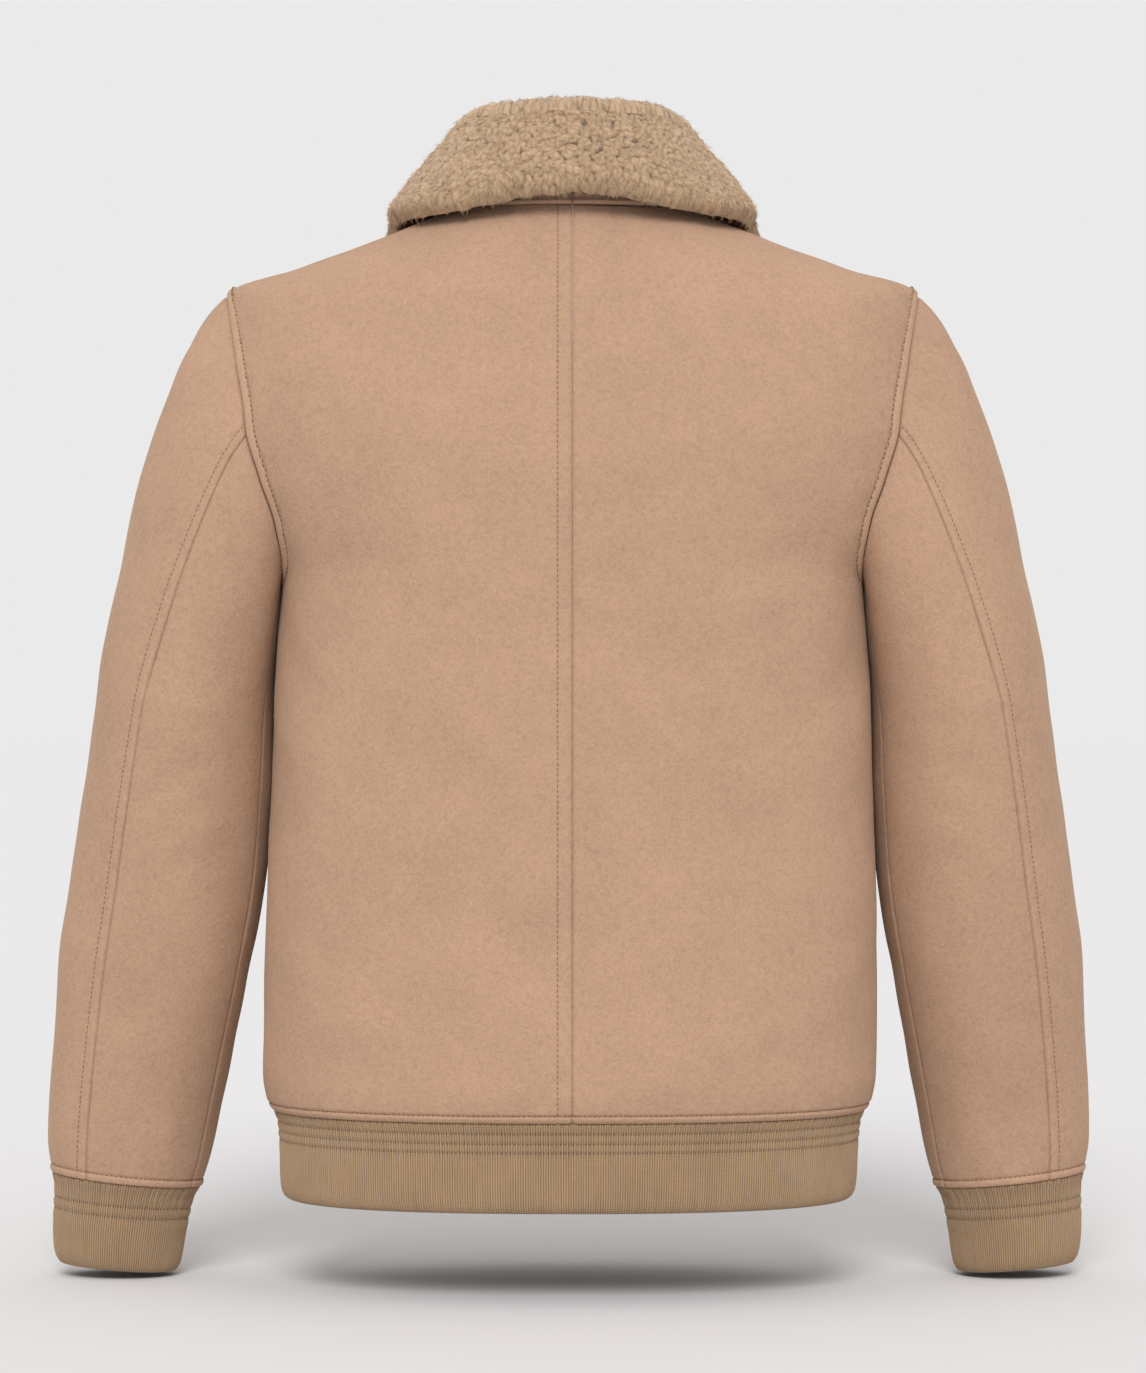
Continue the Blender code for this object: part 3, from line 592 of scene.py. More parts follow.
class Shader:
    """Builds one material's nodes: expressions on values add its Math nodes."""

    def __init__(self, name):
        self.material = bpy.data.materials.new(name)
        self.material.use_nodes = True
        self.tree = self.material.node_tree
        self.surface = self.tree.nodes["Principled BSDF"]

    def node(self, kind, settings=None, output=0, **sockets):
        """Adds a node: its settings first, then values or links of its sockets, by name or by number."""
        made = self.tree.nodes.new(kind)
        for key, value in (settings or {}).items():
            if key == "stops":
                ramp = made.color_ramp
                while len(ramp.elements) < len(value):
                    ramp.elements.new(0.5)
                for element, (place, colour) in zip(ramp.elements, value):
                    element.position = place
                    element.color = colour
            else:
                setattr(made, key, value)
        for key, value in sockets.items():
            index = int(key[1:]) if key[0] == "_" else key.replace("_", " ")
            self.feed(made.inputs[index], value)
        return Wire(self, made.outputs[output])

    def feed(self, socket, value):
        if isinstance(value, Wire):
            self.tree.links.new(value.socket, socket)
        else:
            socket.default_value = value

    def maths(self, operation, *values):
        return self.node("ShaderNodeMath", {"operation": operation}, **{f"_{k}": v for k, v in enumerate(values)})

    def place(self):
        return self.node("ShaderNodeTexCoord", output="Object")

    def attribute(self, name, output="Fac"):
        return self.node("ShaderNodeAttribute", {"attribute_name": name}, output)

    def scaled(self, vector, scale):
        """A vector times three numbers."""
        return self.node("ShaderNodeVectorMath", {"operation": "MULTIPLY"}, _0=vector, _1=scale)

    def joined(self, x, y, z):
        return self.node("ShaderNodeCombineXYZ", X=x, Y=y, Z=z)

    def noise(self, vector, scale, detail=2.0, rough=0.5, distortion=0.0):
        return self.node(
            "ShaderNodeTexNoise",
            Vector=vector,
            Scale=scale,
            Detail=detail,
            Roughness=rough,
            Distortion=distortion,
        )

    def mixed(self, factor, first, second, blend="MIX"):
        """One colour turning into another."""
        return self.node(
            "ShaderNodeMix",
            {"data_type": "RGBA", "blend_type": blend},
            output=2,
            _0=factor,
            _6=first,
            _7=second,
        )

    def bump(self, height, distance, strength=1.0, normal=None):
        sockets = {"Height": height, "Distance": distance, "Strength": strength}
        if normal is not None:
            sockets["Normal"] = normal
        return self.node("ShaderNodeBump", **sockets)

    def finish(self, **sockets):
        for name, value in sockets.items():
            self.feed(self.surface.inputs[name.replace("_", " ")], value)
        return self.material


class Wire:
    """A value that flows from a node's socket. Arithmetic on it adds Math nodes."""

    def __init__(self, shader, socket):
        self.shader = shader
        self.socket = socket

    def maths(self, operation, *values):
        return self.shader.maths(operation, *values)

    def __add__(self, other):
        return self.maths("ADD", self, other)

    def __sub__(self, other):
        return self.maths("SUBTRACT", self, other)

    def __rsub__(self, other):
        return self.maths("SUBTRACT", other, self)

    def __mul__(self, other):
        return self.maths("MULTIPLY", self, other)

    def __truediv__(self, other):
        return self.maths("DIVIDE", self, other)

    def __pow__(self, other):
        return self.maths("POWER", self, other)

    __radd__ = __add__
    __rmul__ = __mul__

    def ramp(self, low, high):
        """0 below the first value and 1 above the second, smoothly."""
        return self.shader.node(
            "ShaderNodeMapRange",
            {"interpolation_type": "SMOOTHSTEP"},
            Value=self,
            From_Min=low,
            From_Max=high,
        )

    def clamped(self):
        return self.shader.node("ShaderNodeClamp", Value=self)


def tinted(values, factor):
    return (*[value * factor for value in values[:3]], 1.0)


def colour(red, green, blue):
    """A colour as seen on a screen, 0 to 255, as the shader's linear numbers."""
    levels = np.array([red, green, blue]) / 255
    linear = np.where(levels <= 0.04045, levels / 12.92, ((levels + 0.055) / 1.055) ** 2.4)
    return (*linear.tolist(), 1.0)


LIGHT = 1.33  # how much brighter than its own colour a surface looks that faces the camera
SUEDE = tinted(colour(196, 159, 132), 1 / LIGHT)
WOOL = tinted(colour(200, 168, 134), 1 / LIGHT)
KNIT = tinted(colour(192, 158, 122), 1 / LIGHT)
THREAD = tinted(colour(138, 100, 74), 1 / LIGHT)
TAPE = colour(120, 88, 62)
BRASS = colour(176, 148, 104)


def suede_material():
    """Brushed nap: worm-like scuffs a few millimetres long over soft blotches. Paler on ridge crowns and cords, as rub
    and painted highlight, and darker in grooves, seams and stitch channels, as painted shade.
    """
    s = Shader("suede")
    place = s.place()
    warp = s.noise(place, 160.0, 2.0, 0.5)
    scuffs = s.noise(place, 430.0, 3.0, 0.62, 1.6)
    worms = s.node(
        "ShaderNodeTexNoise",
        {"noise_type": "RIDGED_MULTIFRACTAL"},
        Vector=place,
        Scale=260.0,
        Detail=3.0,
        Roughness=0.6,
        Lacunarity=2.2,
        Offset=0.8,
        Gain=1.4,
        Distortion=0.8,
    )
    grain = s.noise(place, 1900.0, 2.0, 0.6)
    blotches = s.noise(place, 26.0, 3.0, 0.55, 0.4)
    broad = s.noise(place, 8.0, 1.0, 0.5)
    # This mask is rub plus painted light: paler ridge crowns and cords are painted highlight, and darker grooves, seams
    # and stitch channels are painted shade.
    worn = s.attribute("worn")
    tone = (
        0.5
        + (scuffs - 0.5) * 0.5
        + (worms - 0.6) * 0.32
        + (grain - 0.5) * 0.85
        + (blotches - 0.5) * 0.36
        + (broad - 0.5) * 0.3
        + (warp - 0.5) * 0.14
        + worn * 0.55
    ).clamped()
    base = s.mixed(tone, tinted(SUEDE, 0.76), tinted(SUEDE, 1.24))
    height = scuffs * 0.6 + worms * 0.25 + grain * 0.35
    relief = s.bump(height, 0.00055, 0.8)
    return s.finish(
        Base_Color=base,
        Roughness=0.92,
        Specular_IOR_Level=0.12,
        Sheen_Weight=0.14,
        Sheen_Roughness=0.45,
        Sheen_Tint=(1.0, 0.8, 0.62, 1.0),
        Normal=relief,
    )


def plain_wool_material():
    """The short wool on the inside of the skins, darker between its tufts as painted shade."""
    s = Shader("inside_wool")
    place = s.place()
    tufts = s.node("ShaderNodeTexVoronoi", {"feature": "SMOOTH_F1"}, Vector=place, Scale=190.0, Smoothness=0.6)
    curls = s.noise(place, 420.0, 4.0, 0.6, 2.2)
    shade = s.noise(place, 60.0, 2.0, 0.5)
    # darker away from each tuft's middle, where its bump sinks: painted shade between tufts
    tone = (1.05 - tufts * 0.9 + (curls - 0.5) * 0.9 + (shade - 0.5) * 0.5).clamped()
    base = s.mixed(tone, tinted(WOOL, 0.55), tinted(WOOL, 1.15))
    relief = s.bump(curls * 0.7 - tufts * 1.2, 0.0022, 0.9)
    return s.finish(
        Base_Color=base,
        Roughness=1.0,
        Specular_IOR_Level=0.08,
        Sheen_Weight=0.4,
        Sheen_Roughness=0.6,
        Normal=relief,
    )


# Relief of the sewing


def rolled_in(distance, depth=0.9, reach=0.95):
    """A piece's edge turns down into its seam."""
    return -depth * np.exp(-((distance / reach) ** 2))


def stitch_channel(distance, at, depth=0.24):
    """A row of stitches sinks a narrow channel, and the hide swells a little on both sides of it."""
    return (
        -depth * bell(distance, at, 0.85)
        + 0.3 * depth * bell(distance, at - 2.1, 1.3)
        + 0.3 * depth * bell(distance, at + 2.1, 1.3)
    )


def plump_band(from_edge, around):
    """The turned edge at the hem and the cuffs: a round cord of hide, a groove, and small puckers above it.

    From_edge is the height over the edge, and around is the distance round the garment.
    """
    cord = np.sqrt(np.clip(1 - ((from_edge - BAND_HIGH / 2) / (BAND_HIGH / 2 + 0.35)) ** 2, 0, 1))
    groove = bell(from_edge, BAND_HIGH + 0.5, 0.75)
    uneven = np.sin(around / 1.9 + 1.6 * np.sin(around / 13.0)) + 0.7 * np.sin(around / 3.3 + 2.0)
    puckers = uneven * step_up(from_edge, 4.6, 6.4) * np.exp(-np.maximum(from_edge - 5.5, 0) / 7.0)
    dimples = np.sin(around * math.tau / STITCH_PITCH)
    return 1.0 * cord - 0.7 * groove + 0.2 * puckers + 0.08 * dimples * cord, cord, groove


def armhole_ridge(points, turns):
    """The rounded seam allowance beside the armhole, fading out under the arm. Gives its height, its share across the
    ridge, and the line of its stitching; the colour uses the share for painted highlight and the line for painted
    shade.
    """
    distance, share = nearest_on(armhole_point(turns), points)
    turn = turns[0] + (turns[-1] - turns[0]) * share
    alive = 1 - step_up(180 - np.abs(turn % 360 - 180), 148, 172)
    crown = np.clip(1 - ((distance - 3.5) / 4.0) ** 2, 0, 1) ** 0.55
    at_tip = 1 - 0.55 * np.exp(-(((180 - np.abs(turn % 360 - 180)) / 9.0) ** 2))
    height = alive * (RIDGE_HEIGHT * at_tip * crown - 0.4 * bell(distance, EDGE_TO_STITCH + 0.25, 0.7))
    return height, crown * alive, bell(distance, EDGE_TO_STITCH + 0.25, 0.8) * alive


def laid_on(grid, normals, points, lift=0.0):
    """Points brought onto a fine surface: the nearest of its points, and the flat that touches it there."""
    places = grid.reshape(-1, 3)
    ways = normals.reshape(-1, 3)
    near = np.empty(len(points), int)
    for start in range(0, len(points), 64):
        block = points[start : start + 64]
        near[start : start + 64] = ((places[None] - block[:, None]) ** 2).sum(axis=-1).argmin(axis=1)
    height = ((points - places[near]) * ways[near]).sum(axis=-1, keepdims=True)
    return points + ways[near] * (lift - height), ways[near]


SEWN = []  # every row of stitches, as its points and the ways out of the surface


def sew(path, out, long=STITCH_LONG, pitch=STITCH_PITCH, thick=STITCH_THICK):
    """Keeps a row of stitches along a path: their middles, directions and ways out, at an even pitch."""
    steps = np.linalg.norm(np.diff(path, axis=0), axis=-1)
    travelled = np.concatenate([[0], np.cumsum(steps)])
    count = int(travelled[-1] / pitch)
    middles = (np.arange(count) + 0.5) * travelled[-1] / count
    at = np.stack([np.interp(middles, travelled, path[:, k]) for k in range(3)], axis=-1)
    ahead = np.stack([np.interp(middles + 0.4, travelled, path[:, k]) for k in range(3)], axis=-1)
    behind = np.stack([np.interp(middles - 0.4, travelled, path[:, k]) for k in range(3)], axis=-1)
    up = unit(np.stack([np.interp(middles, travelled, out[:, k]) for k in range(3)], axis=-1))
    SEWN.append((at, unit(ahead - behind), up, np.full(count, long), np.full(count, thick)))


def sew_pair(path, out, **sizes):
    """The same row on both sides of the garment."""
    sew(hung(path), out, **sizes)
    sew(hung(mirrored(path)), mirrored(out), **sizes)


def make_stitches(material):
    """Each stitch is a four-sided thread that rises from the hide, runs along it and goes down again."""
    at, ahead, up, long, thick = [np.concatenate(parts) for parts in zip(*SEWN)]
    across = unit(np.cross(ahead, up))
    chance = np.random.default_rng(11)
    along = np.array([-0.5, -0.3, 0.3, 0.5])
    rise = np.array([-0.42, 0.12, 0.12, -0.42])
    girth = np.array([0.55, 1.0, 1.0, 0.55])
    corners = np.radians([45, 135, 225, 315])
    slant = chance.normal(0, 0.05, len(at))
    line = ahead + across * slant[:, None]
    size = thick[:, None, None, None] / 2 * girth[None, :, None, None]
    points = (
        at[:, None, None]
        + line[:, None, None] * long[:, None, None, None] * along[None, :, None, None]
        + up[:, None, None] * rise[None, :, None, None] * thick[:, None, None, None]
        + across[:, None, None] * np.cos(corners)[None, None, :, None] * size
        + up[:, None, None] * np.sin(corners)[None, None, :, None] * size
    )
    rings, sides = len(along), len(corners)
    base = np.arange(rings * sides).reshape(rings, sides)
    closed = np.concatenate([base, base[:, :1]], axis=1)
    one = np.concatenate([cells(closed), base[0][None], base[-1][None, ::-1]])
    faces = (one[None] + (np.arange(len(at)) * rings * sides)[:, None, None]).reshape(-1, 4)
    made = mesh_object("stitches", points.reshape(-1, 3), [faces[:, ::-1]], [material])
    tone = np.repeat(chance.uniform(0, 1, len(at)), rings * sides)
    set_attribute(made, "tone", tone)
    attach(made, "jacket")
    return made


# Suede body

BAND_STEPS = [0, 0.45, 1.0, 1.7, 2.5, 3.3, 4.0, 4.55, 5.1, 5.7, 6.6, 8.2, 10.6]
CENTRE_STEPS = [0, 0.35, 0.8, 1.5, 2.6, 4.2, 6.0, 7.6, 8.7, 9.6, 10.5, 11.6, 13.4]
RIM_STEPS = [0, 0.35, 0.8, 1.5, 2.5, 3.8, 5.2, 6.4, 7.1, 7.75, 8.4, 9.4, 11.0, 13.4]
ARMHOLE_STEPS = 80

BACK_CREASES = [
    ((74, 330), (38, 262), 0.08, 13.0, -1.3),
    ((78, 296), (46, 214), 0.06, 16.0, 1.0),
    ((52, 396), (22, 352), 0.05, 15.0, -0.8),
    ((70, 128), (30, 92), -0.06, 18.0, -1.0),
    ((62, 74), (18, 52), 0.05, 12.0, 0.9),
]
FRONT_CREASES = [
    ((106, 334), (140, 268), 0.08, 13.0, -1.3),
    ((101, 288), (128, 206), 0.06, 16.0, 1.0),
    ((130, 392), (160, 356), 0.05, 14.0, -0.8),
    ((112, 122), (152, 88), -0.06, 17.0, -1.0),
    ((120, 70), (158, 54), 0.05, 12.0, 0.9),
]


def panel_levels():
    low = np.linspace(BAND_STEPS[-1], ARMPIT_LEVEL, 108)[1:-1]
    armhole = armhole_level(np.linspace(180, 0, ARMHOLE_STEPS + 1))
    yoke = np.concatenate([[546, 547.2, 548.6, 550, 551.4, 553], np.linspace(555, NECK_LEVEL, 40)])
    levels = np.concatenate([BAND_STEPS, low, armhole, yoke])
    return levels if len(levels) % 2 else np.delete(levels, 20)


def body_panel(name, side, widest, centre_steps, rows_of_creases, seed, materials):
    """One half of the back (side -1) or one front (side 1), with its armhole, band, seams and soft creases.

    Across a row, the angle runs from the centre edge to the rim, and the armhole's cut grows by the square.
    """
    levels = panel_levels()
    inside_armhole = (levels > ARMPIT_LEVEL) & (levels < TIP_LEVEL)
    cosine = np.clip((levels - (ARMPIT_LEVEL + TIP_LEVEL) / 2) / ((TIP_LEVEL - ARMPIT_LEVEL) / 2), -1, 1)
    turns = np.degrees(np.arccos(cosine))
    cuts = np.where(inside_armhole, armhole_cut(turns, widest), 0.0)
    edge = np.zeros(len(levels)) if side < 0 else front_angle_at(FRONT_OPENING / 2, levels)
    column = levels[:, None]

    def angles_at(shares):
        return edge[:, None] + (90 - edge[:, None]) * shares + side * cuts[:, None] * shares**2

    dense = np.linspace(0, 1, 201)[None, :] + 0 * column
    parts = stations(278, centre_steps, RIM_STEPS, 3.35)
    shares, from_centre, lengths = along_rows(
        body_point(angles_at(dense), column), dense, lambda length: spread(length, parts)
    )
    shares[:, -1] = 1.0
    angles = angles_at(shares)
    base = body_point(angles, column)
    out = body_normal(angles, column)
    from_rim = lengths[:, None] - from_centre
    ridge_turns = np.linspace(0, 180, 91) if side < 0 else np.linspace(360, 180, 91)
    ridge, crown, channel = armhole_ridge(base, ridge_turns)
    around = np.cumsum(np.linalg.norm(np.diff(base[8], axis=0), axis=-1))
    around = np.concatenate([[0], around])[None, :]
    band, cord, groove = plump_band(column + 0 * base[..., 0], around + 0 * column)
    at = CENTRE_TO_STITCH if side < 0 else EDGE_TO_STITCH
    seams = rolled_in(from_centre) + rolled_in(from_rim)
    sewn = stitch_channel(from_centre, at)
    if side < 0:
        sewn = sewn * (name == "back_left")
    soft = 0.9 * swell(base, 95.0, seed) + 0.35 * swell(base, 42.0, seed + 1)
    soft += creases(base, body_point, rows_of_creases)
    calm = np.clip(from_centre / 25, 0, 1) * np.clip(from_rim / 25, 0, 1) * np.clip(column / 30, 0, 1)
    height = ridge + band + seams + sewn + soft * calm
    outer = base + out * height[..., None]

    near_rim = (np.clip(1 - from_rim / 9.0, 0, 1) ** 2 * inside_armhole[:, None])[..., None]
    inwards = unit(-out * (1 - near_rim) + towards_armhole_middle(base) * near_rim)
    tufts = 0.7 * swell(base, 9.0, seed + 2) + 0.6 * swell(base, 17.0, seed + 3)
    inner = base + inwards * (HIDE_WALL + tufts * np.clip(from_rim / 6, 0, 1))[..., None]
    for grid in (outer, inner):
        grid[..., 1] = -side * np.maximum(-side * grid[..., 1], HALF_GAP)
        grid[..., 0] = np.maximum(grid[..., 0], HALF_GAP if side < 0 else FRONT_OPENING / 2)

    # Colour mask: the ridge crown and the hem cord are paler, as painted highlight with some rub. The rolled seam
    # edges, the hem groove and the stitch channels are darker, as painted shade.
    centre_roll = np.exp(-((from_centre / 1.1) ** 2)) + np.exp(-((from_rim / 1.1) ** 2))
    worn = 0.36 * crown + 0.2 * cord - 0.25 * groove - 0.25 * centre_roll - 0.3 * channel
    worn -= 0.1 * bell(from_centre, at, 0.8) * (sewn != 0)
    for suffix, turned in (("_left", lambda grid: grid), ("_right", mirrored)):
        if side < 0 and name != "back" + suffix:
            continue
        made = shell(
            "front_suede" + suffix if side > 0 else "back_suede" + suffix,
            hung(turned(outer)),
            hung(turned(inner)),
            materials,
        )
        set_attribute(made, "worn", with_inside(worn))
        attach(made, "jacket")
        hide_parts(("front" if side > 0 else "back") + suffix)
    return outer, out, parts


def make_body(suede, wool):
    hides = [suede, wool]
    for name, turned, seed in (("back_left", lambda grid: grid, 21), ("back_right", mirrored, 31)):
        outer, out, _ = body_panel(name, -1, BACK_ARMHOLE, CENTRE_STEPS, BACK_CREASES, seed, hides)
        column = CENTRE_STEPS.index(CENTRE_TO_STITCH)
        if name == "back_left":
            sew(hung(outer[8:, column] + out[8:, column] * 0.12), out[8:, column])
        row = BAND_STEPS.index(5.1)
        sew(hung(turned(outer[row] + out[row] * 0.15)), turned(out[row]), long=2.2, pitch=3.3)
        path = armhole_line(EDGE_TO_STITCH + 0.25, np.linspace(2, 172, 120))
        path, ways = laid_on(outer, out, path, 0.15)
        sew(hung(turned(path)), turned(ways))
    outer, out, _ = body_panel("front", 1, FRONT_ARMHOLE, FRONT_STEPS, FRONT_CREASES, 41, hides)
    column = FRONT_STEPS.index(EDGE_TO_STITCH)
    sew_pair(outer[8:, column] + out[8:, column] * 0.12, out[8:, column])
    row = BAND_STEPS.index(5.1)
    sew_pair(outer[row] + out[row] * 0.15, out[row], long=2.2, pitch=3.3)
    path = armhole_line(EDGE_TO_STITCH + 0.25, np.linspace(358, 188, 120))
    path, ways = laid_on(outer, out, path, 0.15)
    sew_pair(path, ways)


def armhole_line(away, turns):
    """The line that keeps a distance from the armhole, on the body: along the normal's cross with the seam."""
    seam = armhole_point(turns)
    ahead = unit(np.gradient(seam, axis=0))
    behind = turns % 360 <= 180
    cut = np.where(behind, -armhole_cut(turns, BACK_ARMHOLE), armhole_cut(turns, FRONT_ARMHOLE))
    out = body_normal(90 + cut, armhole_level(turns))
    sideways = unit(np.cross(out, ahead))
    sign = np.sign(((ARMHOLE_MIDDLE - seam) * sideways).sum(axis=-1, keepdims=True))
    return seam - sideways * sign * away


FRONT_STEPS = [0, 0.35, 0.8, 1.5, 2.6, 4.2, 5.8, 6.8, 7.5, 8.3, 9.6, 11.6, 14.0]

# Suede sleeves

CAP_STEPS = [0, 0.4, 0.9, 1.6, 2.6, 4.0, 6.0, 8.5, 11.5]
UNDER_STEPS = [0, 0.35, 0.8, 1.5, 2.6, 4.2, 6.5, 9.5]
BACK_SEAM_STEPS = [0, 0.35, 0.8, 1.5, 2.6, 4.2, 5.8, 6.8, 7.5, 8.3, 9.6, 12.0]

SLEEVE_CREASES = [
    ((24, 16), (-8, 70), 0.05, 6.0, -0.8),
    ((48, 18), (14, 84), 0.05, 6.5, 0.9),
    ((70, 22), (30, 96), 0.06, 7.0, -1.1),
    ((92, 30), (58, 118), 0.06, 8.0, 0.8),
    ((118, 260), (64, 312), 0.07, 11.0, -1.4),
    ((128, 300), (78, 340), 0.05, 10.0, 1.1),
    ((110, 430), (60, 462), 0.05, 12.0, -1.0),
    ((300, 20), (338, 90), 0.06, 7.0, -1.0),
    ((238, 270), (292, 318), 0.07, 11.0, -1.3),
    ((246, 425), (300, 458), 0.05, 12.0, -1.0),
]


def sleeve_runs():
    low = SLEEVE_RUN - np.array(BAND_STEPS)[::-1]
    middle = np.linspace(CAP_STEPS[-1], low[0], 162)[1:-1]
    runs = np.concatenate([CAP_STEPS, middle, low])
    return runs if len(runs) % 2 else np.delete(runs, 40)


def sleeve_panel(name, first_turns, last_turns, first_steps, last_steps, width, stitched, seed, materials):
    """One sleeve panel, from one seam to the other round the sleeve and from the armhole down."""
    runs = sleeve_runs()
    column = runs[:, None]
    first, last = first_turns[:, None], last_turns[:, None]
    dense = np.linspace(0, 1, 241)[None, :] + 0 * column
    parts = stations(width, first_steps, last_steps, 3.35)
    shares, from_first, lengths = along_rows(
        sleeve_point(first + (last - first) * dense, column), dense, lambda length: spread(length, parts)
    )
    turns = first + (last - first) * shares
    base = sleeve_point(turns, column + 0 * turns)
    out = -surface_normal(sleeve_point, turns, column + 0 * turns)
    from_last = lengths[:, None] - from_first
    from_edge = SLEEVE_RUN - column + 0 * turns
    band, cord, groove = plump_band(from_edge, turns * 0.86)
    tucked = -1.3 * np.exp(-((column / 2.2) ** 2)) + 0 * turns
    seams = rolled_in(from_first) + rolled_in(from_last)
    sewn = stitch_channel(from_last, EDGE_TO_STITCH, 0.3) * stitched
    soft = 0.8 * swell(base, 80.0, seed) + 0.3 * swell(base, 36.0, seed + 1)
    soft += creases(base, sleeve_point, SLEEVE_CREASES)
    calm = np.clip(from_first / 14, 0, 1) * np.clip(from_last / 14, 0, 1)
    calm = (0.35 + 0.65 * calm) * np.clip(column / 14, 0, 1) * np.clip(from_edge / 20, 0, 1)
    outer = base + out * (band + tucked + seams + sewn + soft * calm)[..., None]

    near_rim = (np.clip(1 - column / 9.0, 0, 1) ** 2 + 0 * turns)[..., None]
    inwards = unit(-out * (1 - near_rim) + towards_armhole_middle(base) * near_rim)
    tufts = 0.6 * swell(base, 8.0, seed + 2) + 0.5 * swell(base, 15.0, seed + 3)
    inner = base + inwards * (SLEEVE_WALL + tufts * np.clip(column / 8, 0, 1))[..., None]
    for grid in (outer, inner):
        grid[..., 0] += ARMHOLE_GAP * np.clip(1 - column / 16.0, 0, 1)
        grid[:, 0] += unit(grid[:, 1] - grid[:, 0]) * HALF_GAP
        grid[:, -1] += unit(grid[:, -2] - grid[:, -1]) * HALF_GAP
        grid[-1] += unit(grid[-2] - grid[-1]) * HALF_GAP

    # Colour mask: the cord and the lip beside the back seam are paler, as painted highlight with some rub. The groove,
    # the seams, the stitch channel and the tucked armhole edge are darker, as painted shade.
    seam_dark = np.exp(-((from_first / 1.1) ** 2)) + np.exp(-((from_last / 1.1) ** 2))
    worn = 0.2 * cord - 0.35 * groove - 0.5 * seam_dark - 0.2 * bell(from_last, EDGE_TO_STITCH, 0.8) * stitched
    worn += 0.16 * bell(from_last, 2.2, 1.2) * stitched - 0.5 * np.exp(-((column / 3.0) ** 2))
    for suffix, turned in (("_left", lambda grid: grid), ("_right", mirrored)):
        made = shell(name + "_suede" + suffix, hung(turned(outer)), hung(turned(inner)), materials)
        set_attribute(made, "worn", with_inside(worn))
        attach(made, "jacket")
        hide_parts(name + suffix)
    row = len(runs) - 1 - BAND_STEPS.index(5.1)
    sew_pair(outer[row] + out[row] * 0.15, out[row], long=2.2, pitch=3.3)
    return outer, out


def make_sleeves(suede, wool):
    runs = sleeve_runs()
    back_seam = SLEEVE_SEAMS.at("back_seam", runs)
    under_seam = SLEEVE_SEAMS.at("under_seam", runs)
    hides = [suede, wool]
    sleeve_panel("under_sleeve", back_seam, under_seam, UNDER_STEPS, UNDER_STEPS, 100, 0.0, 51, hides)
    outer, out = sleeve_panel(
        "top_sleeve", under_seam, back_seam + 360, UNDER_STEPS, BACK_SEAM_STEPS, 320, 1.0, 61, hides
    )
    column = len(outer[0]) - 1 - BACK_SEAM_STEPS.index(EDGE_TO_STITCH)
    path = outer[4:-6, column] + out[4:-6, column] * 0.1
    sew_pair(path, out[4:-6, column], long=2.3, thick=0.5)


# Collar

COLLAR_HALF_STATIONS = 61
ROLL_STATION = 5  # the top of the roll, counted along the skin from the neck seam
FALL_STATION = 7  # where the fall leaves the roll
COLLAR_ARCH = 19.5  # the fall's edge is drawn up by this much at the centre back
COLLAR_ARCH_HALF = 92.0
TUCK = 3.0  # how far the fall's edge rolls in
LOCK_CELL = 3.5
LOCK_HIGH = 2.9


def collar_skin():
    """The skin from the right front end round the back to the left, its stations' shares, and its coarse grid."""
    half = np.linspace(0, 1, COLLAR_HALF_STATIONS)
    skin = np.stack([collar_line(share) for share in half])
    return np.concatenate([mirrored(skin[::-1]), skin[1:]]), np.concatenate([half[::-1], half[1:]])


def distances_along(grid, axis):
    """How far each point of a grid is from its first row or column, along the other direction."""
    steps = np.linalg.norm(np.diff(grid, axis=axis), axis=-1)
    pad = [(0, 0), (0, 0)]
    pad[axis] = (1, 0)
    return np.pad(np.cumsum(steps, axis=axis), pad)


def edge_trim(across):
    """How much shorter the fall is than its cut: an arch at the centre back, and a little longer at the sides."""
    return COLLAR_ARCH * np.clip(1 - (across / COLLAR_ARCH_HALF) ** 2, -0.2, 1)


def shortened(grid, columns, trim):
    """Each line of the fall drawn up by its own length: the stations past the roll are moved back in proportion."""
    last = columns[-1]
    fall = np.linalg.norm(np.diff(grid[:, columns >= FALL_STATION], axis=1), axis=-1).sum(axis=1)
    kept = 1 - trim / fall
    moved = np.where(
        columns[None, :] > FALL_STATION,
        FALL_STATION + (columns[None, :] - FALL_STATION) * kept[:, None],
        columns[None, :],
    )
    numbers = np.arange(len(columns), dtype=float)
    drawn = np.empty_like(grid)
    for row, wanted in enumerate(moved):
        at = np.interp(wanted, columns, numbers)
        over = np.clip(wanted - last, 0, None) / (columns[-1] - columns[-2])
        for k in range(3):
            drawn[row, :, k] = np.interp(at, numbers, grid[row, :, k])
            drawn[row, :, k] += over * (grid[row, -1, k] - grid[row, -2, k])
    return drawn


